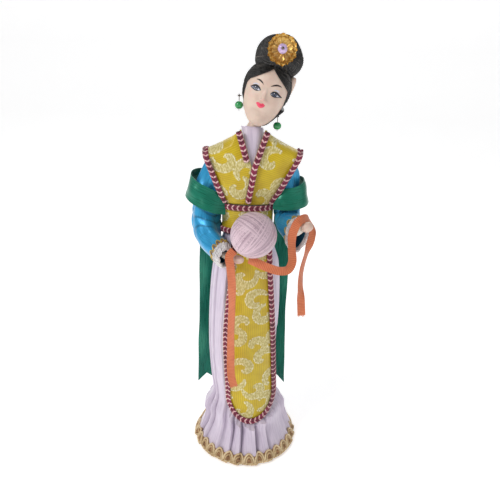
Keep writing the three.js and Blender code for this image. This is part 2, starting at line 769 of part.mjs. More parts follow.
function addShawl() {
  for (const [sideName, loop] of Object.entries(LOOPS)) {
    const points = [];
    for (let s = 0; s <= 8; s++) points.push(loopPoint(loop, lerp(...LOOP_SWEEP, s / 8)));
    const out = (p) => vec(p.x - loop.centre[0], p.y - loop.centre[1], 0);
    add("shawl_loop_" + sideName, band(points, out, SATIN_WIDTH, SATIN_THICK, 20), COLOUR.green, 0.4);
    const tail = TAILS[sideName];
    const tailLine = [vec(...tail.top), ...linePoints(tail.line)];
    const facing = () => vec(...tail.facing);
    add("shawl_tail_" + sideName, band(tailLine, facing, SATIN_WIDTH, SATIN_THICK, 14), COLOUR.green, 0.4);
  }
  const back = linePoints([
    [-27, 12.4, 203.2],
    [-20, 14.6, 202],
    [-10, 16.4, 201],
    [-1.5, 17, 200.6],
    [8, 16.4, 200.4],
    [17, 14.4, 200.2],
    [24.4, 12.4, 200.2],
  ]);
  const backwards = (p) => vec(p.x * 0.03, 1, 0);
  add("shawl_back", band(back, backwards, SATIN_WIDTH, SATIN_THICK, 14), COLOUR.green, 0.4);
}

// ---- Head, hair and ornaments ----

const CAP_SIDE_Y = 3.2; // the cap's front edge; the side wings lie before it
const WING_TOP = 17;
const NECK_RADIUS = 4.4;
const BUN_SIZE = [15.2, 13, 12.8];
const BUN_CENTRE = [14.8, 0.6, 287.4];
const PIN_HEAD = 0.9;

function headSolid(grow, sides = 22) {
  const rings = [];
  const heights = [-20, -19, -18, -15, -11, -6, 0, 6, 11, 14, 17, 19.5];
  for (const t of heights) {
    rings.push(Array.from({ length: sides }, (_, k) => headPoint((2 * Math.PI * k) / sides, t, grow)));
  }
  if (grow) {
    rings.unshift(rings[0].map((p) => p.clone().setZ(p.z - grow)));
    rings.push(rings[rings.length - 1].map((p) => p.clone().setZ(p.z + grow)));
  }
  return loft(rings);
}

// One wing of hair, from the parting round to the side of the head.
function hairWing(side, sweep, fall) {
  const surface = (out) => (u, v) => {
    const angle = side * lerp(0.02, sweep, u);
    const low = lerp(14.6, fall, Math.pow(u, 1.5));
    return headPoint(angle, lerp(low, WING_TOP, v), out);
  };
  return sheet(surface(2 * GAP + 0.8), surface(2 * GAP), 8, 6);
}

function addHead() {
  const head = new THREE.Group();
  head.position.copy(HEAD_CENTRE);
  head.rotation.y = HEAD_TILT;
  root.add(head);
  const pegBore = upright(PEG_RADIUS + GAP, -40, 5, 10);
  add("head_form", cut(headSolid(0), pegBore), COLOUR.skin, 0.55, 0, head);
  const neck = upright(NECK_RADIUS, -22.6, -8, 14);
  add("neck", cut(neck, headSolid(GAP), pegBore), COLOUR.skin, 0.55, 0, head);
  add("neck_peg", upright(PEG_RADIUS, -28.6, 4, 10), COLOUR.wire, 0.4, 0.8, head);
  const beyond = 40; // past the head on every side
  const frontCut = block(-beyond, beyond, -beyond, CAP_SIDE_Y, -beyond, WING_TOP + GAP);
  const neckCut = upright(NECK_RADIUS + 1.6, -beyond, -8);
  add("hair_cap", cut(headSolid(1.6), headSolid(GAP), frontCut, neckCut), COLOUR.hair, 0.5, 0, head);
  add("hair_wing_left", hairWing(1, 1.1, -2), COLOUR.hair, 0.5, 0, head);
  add("hair_wing_right", hairWing(-1, 1.62, -6), COLOUR.hair, 0.5, 0, head);

  const toHead = new THREE.Matrix4().makeRotationY(HEAD_TILT).setPosition(HEAD_CENTRE);
  const ball = new THREE.SphereGeometry(1, 18, 12).rotateX(Math.PI / 2);
  const bun = ball.scale(...BUN_SIZE).translate(...BUN_CENTRE);
  const skull = headSolid(1.9).applyMatrix4(toHead);
  const pinBore = new THREE.CylinderGeometry(PIN_HEAD, PIN_HEAD, 16, 12);
  pinBore.translate(ROSETTE.x, ROSETTE.y + 3, ROSETTE.z);
  add("hair_bun", cut(bun, skull, pinBore), COLOUR.hair, 0.5);
  addOrnament();
}

const PETAL_THICK = 0.9;
const PETAL_NOTCH = 0.1; // how far the gaps between petals cut in, as a share of the radius

// A ring of petals with a hole for the pin.
function petals(radius, count) {
  const shape = new THREE.Shape();
  const steps = count * 3;
  for (let k = 0; k < steps; k++) {
    const angle = (2 * Math.PI * k) / steps;
    const r = radius * (1 - PETAL_NOTCH + PETAL_NOTCH * Math.abs(Math.sin((count * angle) / 2)));
    shape[k ? "lineTo" : "moveTo"](r * Math.cos(angle), r * Math.sin(angle));
  }
  shape.closePath();
  const hole = new THREE.Path();
  hole.absarc(0, 0, PIN_HEAD, 0, 2 * Math.PI, true);
  shape.holes.push(hole);
  const options = { depth: PETAL_THICK, bevelEnabled: false, curveSegments: 10 };
  return new THREE.ExtrudeGeometry(shape, options).rotateX(Math.PI / 2);
}

const ORNAMENT_BEAD_RADIUS = 2.9;
const PIN_WIRE = 0.3; // radius
const PIN_FRONT = -9.6;
const PIN_BACK = 5;
const BEAD_HOLE = 0.6; // radius

// A bead along Y, bored through, with flat ends.
function beadGeometry(radius) {
  const endAngle = 1.29;
  const profile = [];
  for (let s = 0; s <= 6; s++) {
    const angle = lerp(-endAngle, endAngle, s / 6);
    profile.push(new THREE.Vector2(radius * Math.cos(angle), radius * Math.sin(angle)));
  }
  const end = radius * Math.sin(endAngle);
  profile.push(new THREE.Vector2(BEAD_HOLE, end), new THREE.Vector2(BEAD_HOLE, -end), profile[0].clone());
  return new THREE.LatheGeometry(profile, 12);
}

function addOrnament() {
  const place = (geometry, out) => geometry.translate(ROSETTE.x, ROSETTE.y - out, ROSETTE.z);
  add("rosette_back", place(petals(9.6, 16), 1.4), COLOUR.gold, 0.3, 0.9);
  add("rosette_front", place(petals(7.2, 14), 2.6), COLOUR.gold, 0.3, 0.9);
  add("ornament_bead", place(beadGeometry(ORNAMENT_BEAD_RADIUS), 6.6), COLOUR.lilac, 0.3);
  const pinProfile = [
    [0, PIN_FRONT - 0.6],
    [PIN_HEAD, PIN_FRONT - 0.4],
    [PIN_HEAD, PIN_FRONT],
    [PIN_WIRE, PIN_FRONT],
    [PIN_WIRE, PIN_BACK],
    [0, PIN_BACK],
  ].map(([radius, y]) => new THREE.Vector2(radius, y));
  add("ornament_pin", place(new THREE.LatheGeometry(pinProfile, 10), 0), COLOUR.wire, 0.4, 0.8);
}

// ---- Earrings ----

const EARRINGS = {
  right: { side: -1, pin: [-10.6, -0.6, 263] },
  left: { side: 1, pin: [16.2, -1.6, 250.6] },
};
const EAR_PIN_RADIUS = 0.35;
const EAR_PIN_LENGTH = 2.6;
const EAR_PIN_IN = 0.9; // the pin's middle, in from its outer end's place
const EYE_IN = 0.6; // the wire's eye, in from the same place
const EYE_RADIUS = 0.95;
const EAR_WIRE_RADIUS = 0.28;
const DROP = 8.5; // from the eye down to the wire's end
const BEAD_DROP = 5.9; // from the eye down to the bead's middle

function addEarring(sideName, earring) {
  const [x, y, z] = earring.pin;
  const pin = new THREE.CylinderGeometry(EAR_PIN_RADIUS, EAR_PIN_RADIUS, EAR_PIN_LENGTH, 10);
  pin.rotateZ(Math.PI / 2).translate(x - earring.side * EAR_PIN_IN, y, z);
  add("earring_pin_" + sideName, pin, COLOUR.wire, 0.4, 0.8);
  const eyeX = x - earring.side * EYE_IN;
  const eye = new THREE.TorusGeometry(EYE_RADIUS, EAR_WIRE_RADIUS, 6, 10).rotateY(Math.PI / 2);
  const stem = upright(EAR_WIRE_RADIUS, -DROP, -EYE_RADIUS, 6);
  const drop = geometryOf(solid(eye).add(solid(stem)));
  add("earring_wire_" + sideName, drop.translate(eyeX, y, z), COLOUR.wire, 0.4, 0.8);
  const bead = beadGeometry(BEAD_RADIUS).rotateX(Math.PI / 2);
  add("earring_bead_" + sideName, bead.translate(eyeX, y, z - BEAD_DROP), COLOUR.bead, 0.2);
}

addBaseAndBody();
addSkirt();
addApron();
addVest();
addWaist();
addCollar();
for (const [sideName, arm] of Object.entries(ARMS)) addArm(sideName, arm);
addBall();
addRibbon();
addShawl();
addHead();
for (const [sideName, earring] of Object.entries(EARRINGS)) addEarring(sideName, earring);

export default root;
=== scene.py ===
"""The looks of a court-lady doll in silk clothes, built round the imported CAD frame.

Lengths are in millimetres until a mesh is made, and metres from there on. The doll faces -Y, and
"left" and "right" are its own sides: its left hand is on +X.
"""

import math

import bpy
import numpy as np
from mathutils import Matrix, Vector


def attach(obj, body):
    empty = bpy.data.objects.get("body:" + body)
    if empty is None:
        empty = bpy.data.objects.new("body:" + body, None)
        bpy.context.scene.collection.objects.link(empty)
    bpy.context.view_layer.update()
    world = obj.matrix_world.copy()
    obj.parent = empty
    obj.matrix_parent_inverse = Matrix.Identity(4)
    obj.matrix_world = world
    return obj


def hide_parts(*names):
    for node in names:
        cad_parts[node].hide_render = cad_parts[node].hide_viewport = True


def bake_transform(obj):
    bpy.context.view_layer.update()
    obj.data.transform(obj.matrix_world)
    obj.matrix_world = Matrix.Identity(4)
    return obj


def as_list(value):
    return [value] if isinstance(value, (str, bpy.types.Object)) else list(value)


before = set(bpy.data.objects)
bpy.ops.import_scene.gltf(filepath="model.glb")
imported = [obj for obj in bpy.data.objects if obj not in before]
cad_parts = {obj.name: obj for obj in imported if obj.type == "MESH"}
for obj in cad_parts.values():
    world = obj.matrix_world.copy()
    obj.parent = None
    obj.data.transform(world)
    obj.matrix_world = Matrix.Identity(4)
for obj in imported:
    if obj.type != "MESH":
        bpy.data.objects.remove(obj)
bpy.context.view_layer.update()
MM = 0.001
TURN = 2 * math.pi

# ---- Camera ----

CAMERA_PLACE = (0, -302, 254.5)
CAMERA_DOWN = math.radians(17.84)
CAMERA_ROLL = math.radians(1.69)
CAMERA_LENS = 31.42  # mm, on a 36 mm sensor


def add_camera():
    data = bpy.data.cameras.new("camera")
    data.lens = CAMERA_LENS
    data.sensor_width = 36
    camera = bpy.data.objects.new("camera", data)
    bpy.context.scene.collection.objects.link(camera)
    forward = Vector((0, math.cos(CAMERA_DOWN), -math.sin(CAMERA_DOWN)))
    side = Vector((1, 0, 0))
    up = side.cross(forward)
    right = math.cos(CAMERA_ROLL) * side + math.sin(CAMERA_ROLL) * up
    top = math.cos(CAMERA_ROLL) * up - math.sin(CAMERA_ROLL) * side
    turn = Matrix((right, top, -forward)).transposed().to_4x4()
    camera.matrix_world = Matrix.Translation(Vector(CAMERA_PLACE) * MM) @ turn
    bpy.context.scene.camera = camera


add_camera()

# ---- Sizes shared with the CAD ----

BODY_SECTIONS = np.array([  # height, centre x, half width, half depth
    [0, 0, 37.4, 37.4], [8, 0, 33.4, 33.2], [16, 0, 29, 28.4], [26, -0.3, 24.8, 23.4],
    [38, -1, 22.4, 19.8], [60, -2.8, 23.2, 18.8], [85, -3.9, 24, 18.8], [120, -3.4, 24.2, 18.3],
    [150, -2.8, 22.2, 17], [162, -2.6, 18.4, 14.4], [174, -2.5, 15, 10.8], [194, -2.4, 14.6, 10.2],
    [208, -1.6, 14, 11.2], [222, -1, 13, 10.6], [232, -1, 11, 8.5], [243, -1, 6.2, 5.6],
])
HEAD_SECTIONS = np.array([  # height along the head's axis, centre y, half width, half depth
    [-20, -10.4, 2.6, 2], [-18, -9.3, 5.8, 4.6], [-15, -7.5, 8.5, 6.5], [-11, -4.5, 11, 9.5],
    [-6, -2, 12.7, 12], [0, -0.8, 13.7, 13.3], [6, -0.3, 14, 13.7], [11, 0, 12.9, 12.8],
    [16, 0.3, 9.8, 9.8], [19.5, 0.3, 5, 5],
])
HEAD_CENTRE = np.array([6.8, 0, 264.1])
HEAD_TILT = math.radians(17.5)
HEAD_RIGHT = np.array([math.cos(HEAD_TILT), 0, -math.sin(HEAD_TILT)])
HEAD_UP = np.array([math.sin(HEAD_TILT), 0, math.cos(HEAD_TILT)])
SKIRT_OUT = 1.2
YOKE_OUT = 0.45
COLLAR_OUT = 1.0
VEST_IN = 1.3
VEST_OUT = 2.2
APRON_OUT = 3.15
BAND_OUT = 3.4
TRIM_IN = 3.7
LAPEL_TRIM_IN = 3.1
BRAID_WIDTH = 4.0
BALL_CENTRE = np.array([2, -35, 178.5])
BALL_RADIUS = 15.0
ROSETTE = np.array([15.9, -11.4, 289.5])

# ---- Numbers and curves ----


def lerp(a, b, t):
    return a + (b - a) * t


def smooth(x, low, high):
    t = np.clip((x - low) / (high - low), 0, 1)
    return t * t * (3 - 2 * t)


def unit(v):
    return v / np.maximum(np.linalg.norm(v, axis=-1, keepdims=True), 1e-9)


def read_sections(rows, z):
    """A section table read at any heights, smooth between its rows: one array for each column."""
    z = np.asarray(z, float)
    heights = rows[:, 0]
    last = len(rows) - 1
    before = np.maximum(np.arange(last + 1) - 1, 0)
    after = np.minimum(np.arange(last + 1) + 1, last)
    slopes = (rows[after, 1:] - rows[before, 1:]) / (heights[after] - heights[before])[:, None]
    i = np.clip(np.searchsorted(heights, z, side="right") - 1, 0, last - 1)
    span = (heights[i + 1] - heights[i])[..., None]
    t = np.clip((z[..., None] - heights[i][..., None]) / span, 0, 1)
    low, high = rows[i, 1:], rows[i + 1, 1:]
    t2, t3 = t * t, t ** 3
    value = low * (2 * t3 - 3 * t2 + 1) + slopes[i] * span * (t3 - 2 * t2 + t)
    value = value + high * (3 * t2 - 2 * t3) + slopes[i + 1] * span * (t3 - t2)
    return value[..., 0], value[..., 1], value[..., 2]


def body_point(angle, z, out):
    centre, width, depth = read_sections(BODY_SECTIONS, z)
    x = centre + np.sin(angle) * (width + out)
    return np.stack([x, -np.cos(angle) * (depth + out), z + 0 * x], -1)


def front_y(x, z, out):
    centre, width, depth = read_sections(BODY_SECTIONS, z)
    side = np.clip((x - centre) / (width + out), -0.98, 0.98)
    return -(depth + out) * np.sqrt(1 - side * side)


def to_world(x, y, t):
    """A place in the head's own frame: x to its left, y back, t up its axis."""
    x, y, t = np.broadcast_arrays(x, y, t)
    flat = HEAD_CENTRE + x[..., None] * HEAD_RIGHT + t[..., None] * HEAD_UP
    return flat + y[..., None] * np.array([0, 1, 0])


def head_point(angle, t, out):
    centre, width, depth = read_sections(HEAD_SECTIONS, t)
    return to_world(np.sin(angle) * (width + out), centre - np.cos(angle) * (depth + out), t)


def smooth_line(points, count):
    """Evenly spaced points along a smooth curve through the given ones."""
    given = np.array(points, float)
    ends = np.vstack([2 * given[0] - given[1], given, 2 * given[-1] - given[-2]])
    fine = []
    for k in range(len(given) - 1):
        a, b, c, d = ends[k : k + 4]
        gaps = [np.linalg.norm(q - p) ** 0.5 for p, q in ((a, b), (b, c), (c, d))]
        k0, k1, k2, k3 = np.cumsum([0, *gaps])
        t = np.linspace(k1, k2, 24, endpoint=False)[:, None]
        ab = ((k1 - t) * a + (t - k0) * b) / (k1 - k0)
        bc = ((k2 - t) * b + (t - k1) * c) / (k2 - k1)
        cd = ((k3 - t) * c + (t - k2) * d) / (k3 - k2)
        abc = ((k2 - t) * ab + (t - k0) * bc) / (k2 - k0)
        bcd = ((k3 - t) * bc + (t - k1) * cd) / (k3 - k1)
        fine.append(((k2 - t) * abc + (t - k1) * bcd) / (k2 - k1))
    fine = np.vstack([*fine, given[-1:]])
    at = np.concatenate([[0], np.cumsum(np.linalg.norm(np.diff(fine, axis=0), axis=1))])
    wanted = np.linspace(0, at[-1], count)
    return np.stack([np.interp(wanted, at, fine[:, k]) for k in range(3)], 1)


def spread(keys, count):
    """Rows of numbers read evenly from first to last, eased between them."""
    keys = np.array(keys, float)
    at = np.linspace(0, len(keys) - 1, count)
    low = np.clip(at.astype(int), 0, len(keys) - 2)
    t = smooth(at - low, 0, 1)[:, None]
    return keys[low] * (1 - t) + keys[low + 1] * t


def round_grid(low, high, rows, columns):
    """Two grids: values from low to high down the rows, and angles once round along the columns."""
    down = np.linspace(low, high, rows)
    around = np.linspace(0, TURN, columns, endpoint=False)
    return np.meshgrid(down, around, indexing="ij")


def frames(line, facing):
    along = unit(np.gradient(line, axis=0))
    out = unit(facing - (facing * along).sum(-1, keepdims=True) * along)
    return along, out, np.cross(along, out)


# ---- Meshes ----


class Shape:
    """Points and faces gathered for one mesh. Each face keeps the number of its material."""

    def __init__(self):
        self.points, self.faces, self.looks, self.values = [], [], [], {}
        self.count = 0

    def add(self, points, faces, look=0, **values):
        points = np.asarray(points, float).reshape(-1, 3)
        faces = [list(face) for face in faces]
        if signed_volume(points - points.mean(0), faces) < 0:
            faces = [face[::-1] for face in faces]
        self.faces += [[i + self.count for i in face] for face in faces]
        self.looks += [look] * len(faces)
        for name, value in values.items():
            self.values.setdefault(name, []).append(np.asarray(value, float))
        self.points.append(points)
        self.count += len(points)
        return self


def signed_volume(points, faces):
    total = 0.0
    for size in {len(face) for face in faces}:
        group = np.array([face for face in faces if len(face) == size])
        for k in range(1, size - 1):
            a, b, c = points[group[:, 0]], points[group[:, k]], points[group[:, k + 1]]
            total += float((a * np.cross(b, c)).sum())
    return total


def shell(front, back, round_off=False):
    """Points and faces of a closed sheet between two grids. round_off joins its last column to its first."""
    rows, columns = front.shape[:2]
    points = np.concatenate([front.reshape(-1, 3), back.reshape(-1, 3)])
    low = np.arange(rows * columns).reshape(rows, columns)
    if round_off:
        low = np.concatenate([low, low[:, :1]], 1)
    high = low + rows * columns

    def quads(*corners):
        return np.stack(corners, -1).reshape(-1, 4)

    faces = [
        quads(low[:-1, :-1], low[:-1, 1:], low[1:, 1:], low[1:, :-1]),
        quads(high[:-1, :-1], high[1:, :-1], high[1:, 1:], high[:-1, 1:]),
        quads(low[0, 1:], low[0, :-1], high[0, :-1], high[0, 1:]),
        quads(low[-1, :-1], low[-1, 1:], high[-1, 1:], high[-1, :-1]),
    ]
    if not round_off:
        faces.append(quads(low[:-1, 0], low[1:, 0], high[1:, 0], high[:-1, 0]))
        faces.append(quads(low[1:, -1], low[:-1, -1], high[:-1, -1], high[1:, -1]))
    return points, np.concatenate(faces).tolist()


def loft(rings, closed=False):
    """Points and faces of a solid through rings of points. closed joins the last ring to the first."""
    count, sides = rings.shape[:2]
    index = np.arange(count * sides).reshape(count, sides)
    index = np.concatenate([index, index[:, :1]], 1)
    if closed:
        index = np.concatenate([index, index[:1]], 0)
    corners = [index[:-1, :-1], index[:-1, 1:], index[1:, 1:], index[1:, :-1]]
    faces = np.stack(corners, -1).reshape(-1, 4).tolist()
    if not closed:
        faces += [list(range(sides))[::-1], list(range((count - 1) * sides, count * sides))]
    return rings.reshape(-1, 3), faces


def tube(line, radius, sides=6, closed=False):
    """A round bar along a line of points. radius is a number or one for each point."""
    line = np.asarray(line, float)
    along = np.gradient(line, axis=0)
    if closed:
        along = np.roll(line, -1, 0) - np.roll(line, 1, 0)
    along = unit(along)
    first = np.zeros_like(line)
    start = np.array([0, 0, 1.0]) if abs(along[0][2]) < 0.9 else np.array([1.0, 0, 0])
    for k in range(len(line)):
        start = start - along[k] * np.dot(start, along[k])
        start = start / np.linalg.norm(start)
        first[k] = start
    second = np.cross(along, first)
    angle = np.arange(sides) * TURN / sides
    radius = np.broadcast_to(radius, (len(line),))[:, None, None]
    ring = first[:, None] * np.cos(angle)[None, :, None] + second[:, None] * np.sin(angle)[None, :, None]
    return loft(line[:, None] + radius * ring, closed)


def cloth_map(grid):
    """Each point's place on the flat cloth, in millimetres: across, then along."""
    rows, columns = grid.shape[:2]
    across = np.linalg.norm(np.diff(grid, axis=1), axis=2).mean(0)
    along = np.linalg.norm(np.diff(grid, axis=0), axis=2).mean(1)
    u = np.concatenate([[0], np.cumsum(across)])
    v = np.concatenate([[0], np.cumsum(along)])
    flat = np.zeros((rows, columns, 3))
    flat[..., 0], flat[..., 1] = u[None, :], v[:, None]
    return np.concatenate([flat.reshape(-1, 3)] * 2)


def piece(name, shape, looks, body, nodes=(), sharp=42):
    """Makes the mesh and says what it rides on, which slot it takes its finish from and what it replaces."""
    mesh = bpy.data.meshes.new(name)
    mesh.from_pydata((np.concatenate(shape.points) * MM).tolist(), [], shape.faces)
    for look in looks:
        mesh.materials.append(look)
    mesh.polygons.foreach_set("material_index", shape.looks)
    for key, parts in shape.values.items():
        values = np.concatenate(parts)
        kind = "FLOAT_VECTOR" if values.ndim == 2 else "FLOAT"
        attribute = mesh.attributes.new(key, kind, "POINT")
        kind = "vector" if values.ndim == 2 else "value"
        attribute.data.foreach_set(kind, values.astype(np.float32).ravel())
    mesh.shade_smooth()
    mesh.set_sharp_from_angle(angle=math.radians(sharp))
    mesh.update()
    made = bpy.data.objects.new(name, mesh)
    bpy.context.scene.collection.objects.link(made)
    if body:
        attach(made, body)
    if nodes:
        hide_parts(*nodes)
    return made


# ---- Materials ----


def colour(red, green, blue):
    """A colour given as it looks on a screen, 0 to 255, as the shader's linear values."""
    linear = [c / 255 / 12.92 if c <= 10 else ((c / 255 + 0.055) / 1.055) ** 2.4 for c in (red, green, blue)]
    return (*linear, 1.0)


class Look:
    """A material, with short calls that add its nodes."""

    def __init__(self, name, sockets):
        self.material = bpy.data.materials.new(name)
        self.material.use_nodes = True
        self.tree = self.material.node_tree
        self.shader = self.tree.nodes["Principled BSDF"]
        for socket, value in sockets.items():
            self.shader.inputs[socket].default_value = value

    def node(self, kind, inputs, **settings):
        made = self.tree.nodes.new(kind)
        for key, value in settings.items():
            setattr(made, key, value)
        for key, value in inputs.items():
            self.feed(made.inputs[key], value)
        return made

    def feed(self, socket, value):
        if isinstance(value, bpy.types.NodeSocket):
            self.tree.links.new(value, socket)
        else:
            socket.default_value = value

    def cloth(self):
        """The place on the flat cloth, in millimetres."""
        return self.node("ShaderNodeAttribute", {}, attribute_name="cloth").outputs["Vector"]

    def value(self, name):
        return self.node("ShaderNodeAttribute", {}, attribute_name=name).outputs["Fac"]

    def place(self):
        """The place on the object, in millimetres."""
        found = self.node("ShaderNodeTexCoord", {}).outputs["Object"]
        return self.node("ShaderNodeVectorMath", {0: found, "Scale": 1000.0}, operation="SCALE").outputs[0]

    def stretch(self, where, amounts):
        return self.node("ShaderNodeVectorMath", {0: where, 1: amounts}, operation="MULTIPLY").outputs[0]

    def noise(self, where, size, detail=3.0, twist=0.0):
        inputs = {"Vector": where, "Scale": 1 / size, "Detail": detail, "Distortion": twist}
        return self.node("ShaderNodeTexNoise", inputs).outputs[0]

    def ribs(self, where, pitch, axis="X", wander=0.4):
        """Ribs a pitch apart, in millimetres, running across the axis."""
        inputs = {"Vector": where, "Scale": 0.31416 / pitch, "Distortion": wander, "Detail": 1.0}
        return self.node("ShaderNodeTexWave", inputs, bands_direction=axis).outputs["Fac"]

    def math(self, operation, a, b=0.0, c=0.0):
        return self.node("ShaderNodeMath", {0: a, 1: b, 2: c}, operation=operation).outputs[0]

    def fade(self, value, low, high):
        """0 below low, 1 above high."""
        inputs = {"Value": value, "From Min": low, "From Max": high}
        return self.node("ShaderNodeMapRange", inputs, interpolation_type="SMOOTHSTEP").outputs[0]

    def mix(self, share, a, b, blend="MIX"):
        made = self.node("ShaderNodeMix", {0: share, 6: a, 7: b}, data_type="RGBA", blend_type=blend)
        return made.outputs[2]

    def bump(self, height, depth, strength=1.0):
        """Raises the surface by depth millimetres where height is 1."""
        inputs = {"Height": height, "Distance": depth * MM, "Strength": strength}
        found = self.shader.inputs["Normal"].links
        if found:
            inputs["Normal"] = found[0].from_socket
        self.feed(self.shader.inputs["Normal"], self.node("ShaderNodeBump", inputs).outputs[0])

    def paint(self, value):
        self.feed(self.shader.inputs["Base Color"], value)

    def rough(self, value, low, high):
        inputs = {"Value": value, "To Min": low, "To Max": high}
        self.feed(self.shader.inputs["Roughness"], self.node("ShaderNodeMapRange", inputs).outputs[0])


def satin(name, light, dark, deep, metal=0.0, roughness=(0.3, 0.42), grain=(0.3, 1.0)):
    """Satin: long floats running along the cloth, with slow changes of tone. "fold" is 0 deep in a fold;
    where it is low the colour is drawn to deep, a painted shade for folds and inside faces.
    """
    look = Look(name, {
        "Metallic": metal, "Sheen Weight": 0.25, "Sheen Roughness": 0.4, "Specular IOR Level": 0.6,
    })
    cloth = look.cloth()
    slow = look.noise(cloth, 9.0)
    threads = look.noise(look.stretch(cloth, (1.6, 0.07, 1.0)), 1.0, 4.0)
    shade = look.math("ADD", look.math("MULTIPLY", slow, 0.3), threads)
    base = look.mix(look.fade(shade, *grain), dark, light)
    # Painted shade: where "fold" is low the colour falls towards the dark colour deep.
    look.paint(look.mix(look.value("fold"), deep, base))
    look.rough(threads, *roughness)
    look.bump(threads, 0.05, 0.7)
    look.bump(look.ribs(cloth, 0.42, "Y"), 0.02, 0.5)
    look.bump(look.noise(look.stretch(cloth, (0.16, 0.05, 1.0)), 1.0, 2.0), 0.5, 0.6)
    return look.material


def brocade(name, rib_axis):
    """Yellow ribbed ground with silvery scrolls woven in. "scroll" is how far inside one a point is."""
    look = Look(name, {"Sheen Weight": 0.2, "Sheen Roughness": 0.4, "Specular IOR Level": 0.55})
    cloth = look.cloth()
    depth = look.value("scroll")
    ribs = look.ribs(cloth, 1.3, rib_axis, 0.5)
    slow = look.noise(cloth, 8.0)
    ground = look.mix(look.fade(slow, 0.1, 0.9), colour(200, 168, 10), colour(228, 202, 34))
    ground = look.mix(look.math("MULTIPLY", ribs, 0.3), ground, colour(146, 112, 4))
    threads = look.noise(look.stretch(cloth, (1.1, 0.5, 1.0)), 1.0, 4.0)
    silver = look.mix(look.fade(threads, 0.36, 0.66), colour(190, 172, 92), colour(228, 216, 156))
    ragged = look.math("ADD", depth, look.math("MULTIPLY", threads, 0.7))
    inside = look.fade(ragged, 0.1, 0.6)
    # A pale rim round each scroll's edge, broken into spots by the thread noise: partly the scroll's paler
    # outline, partly painted highlight for thread glints.
    edge = look.math("MULTIPLY", look.fade(ragged, 1.7, 0.8), look.fade(threads, 0.46, 0.6))
    scroll_threads_and_glints = look.mix(look.math("MULTIPLY", edge, 0.8), silver, colour(244, 240, 210))
    look.paint(look.mix(inside, ground, scroll_threads_and_glints))
    look.rough(inside, 0.36, 0.5)
    look.bump(ribs, 0.06, 0.8)
    look.bump(look.math("MULTIPLY", threads, inside), 0.12, 0.8)
    return look.material


def thread(name, light, dark, roughness=0.6, sheen=0.3, twist=0.7, metal=0.0):
    """Twisted yarn: fine slanting plies over a slow change of shade."""
    look = Look(name, {"Metallic": metal, "Sheen Weight": sheen, "Sheen Roughness": 0.5})
    place = look.place()
    plies = look.noise(place, twist, 3.0, 0.6)
    slow = look.noise(place, 6.0, 2.0)
    look.paint(look.mix(look.fade(look.math("ADD", plies, slow), 0.75, 1.25), dark, light))
    look.rough(plies, roughness - 0.1, roughness + 0.12)
    look.bump(plies, 0.12, 0.8)
    return look.material


def wound_silk(name):
    """Floss silk: each winding's own tone, with fine fibres along it."""
    look = Look(name, {"Sheen Weight": 0.35, "Sheen Roughness": 0.35, "Specular IOR Level": 0.6})
    tone = look.value("tone")
    fine = look.noise(look.place(), 0.6, 3.0)
    shade = look.math("ADD", tone, look.math("MULTIPLY", fine, 0.3))
    look.paint(look.mix(look.fade(shade, 0.1, 1.1), colour(170, 140, 156), colour(226, 200, 211)))
    look.rough(fine, 0.3, 0.42)
    look.bump(fine, 0.04, 0.5)
    return look.material


def grosgrain(name, light, dark):
    """Corded ribbon: close ribs across its width."""
    look = Look(name, {"Sheen Weight": 0.3, "Sheen Roughness": 0.5})
    cloth = look.cloth()
    cords = look.ribs(cloth, 1.15, "Y", 0.3)
    weave = look.ribs(cloth, 0.5, "X", 0.3)
    slow = look.noise(cloth, 5.0)
    base = look.mix(look.fade(slow, -0.2, 0.9), dark, light)
    look.paint(look.mix(look.math("MULTIPLY", cords, 0.4), base, dark, "MULTIPLY"))
    look.rough(cords, 0.5, 0.68)
    look.bump(cords, 0.1, 0.9)
    look.bump(weave, 0.03, 0.5)
    return look.material


def painted(name, light, dark, roughness, size=1.4, coat=0.0):
    """Brushed paint with an uneven tone."""
    look = Look(name, {"Coat Weight": coat, "Coat Roughness": 0.2})
    brush = look.noise(look.stretch(look.place(), (1.0, 1.0, 2.2)), size, 4.0, 0.3)
    look.paint(look.mix(look.fade(brush, 0.3, 0.7), dark, light))
    look.rough(brush, roughness - 0.06, roughness + 0.1)
    look.bump(brush, 0.02, 0.6)
    return look.material


def porcelain_skin(name):
    """The painted face and hands: pale beige with a faint blush and fine brush marks."""
    look = Look(name, {
        "Subsurface Weight": 0.12, "Subsurface Scale": 0.002, "Coat Weight": 0.12, "Coat Roughness": 0.45,
    })
    place = look.place()
    tone = look.noise(place, 7.0)
    base = look.mix(look.fade(tone, 0.3, 0.7), colour(216, 190, 174), colour(230, 206, 190))
    look.paint(look.mix(look.math("MULTIPLY", look.value("blush"), 0.5), base, colour(226, 146, 138)))
    fine = look.noise(place, 0.8, 4.0)
    look.rough(fine, 0.42, 0.58)
    look.bump(fine, 0.025, 0.5)
    return look.material


def silk_hair(name):
    """Black-brown silk hair. The strands are in the mesh; finer ones are drawn along them."""
    look = Look(name, {"Specular IOR Level": 0.6, "Sheen Weight": 0.03, "Sheen Roughness": 0.4})
    strands = look.noise(look.stretch(look.cloth(), (5.0, 0.22, 1.0)), 1.0, 5.0)
    locks = look.noise(look.stretch(look.cloth(), (0.9, 0.12, 1.0)), 1.0, 3.0, 0.8)
    base = look.mix(look.fade(strands, 0.35, 0.7), colour(7, 6, 6), colour(24, 20, 18))
    # Painted highlight: pale grey-brown streaks along the locks, standing for light shining off the silk.
    shine = look.math("MULTIPLY", look.fade(locks, 0.56, 0.72), 0.75)
    look.paint(look.mix(shine, base, colour(120, 112, 102)))
    look.rough(strands, 0.28, 0.5)
    look.bump(strands, 0.2, 0.9)
    look.bump(locks, 0.6, 0.8)
    return look.material


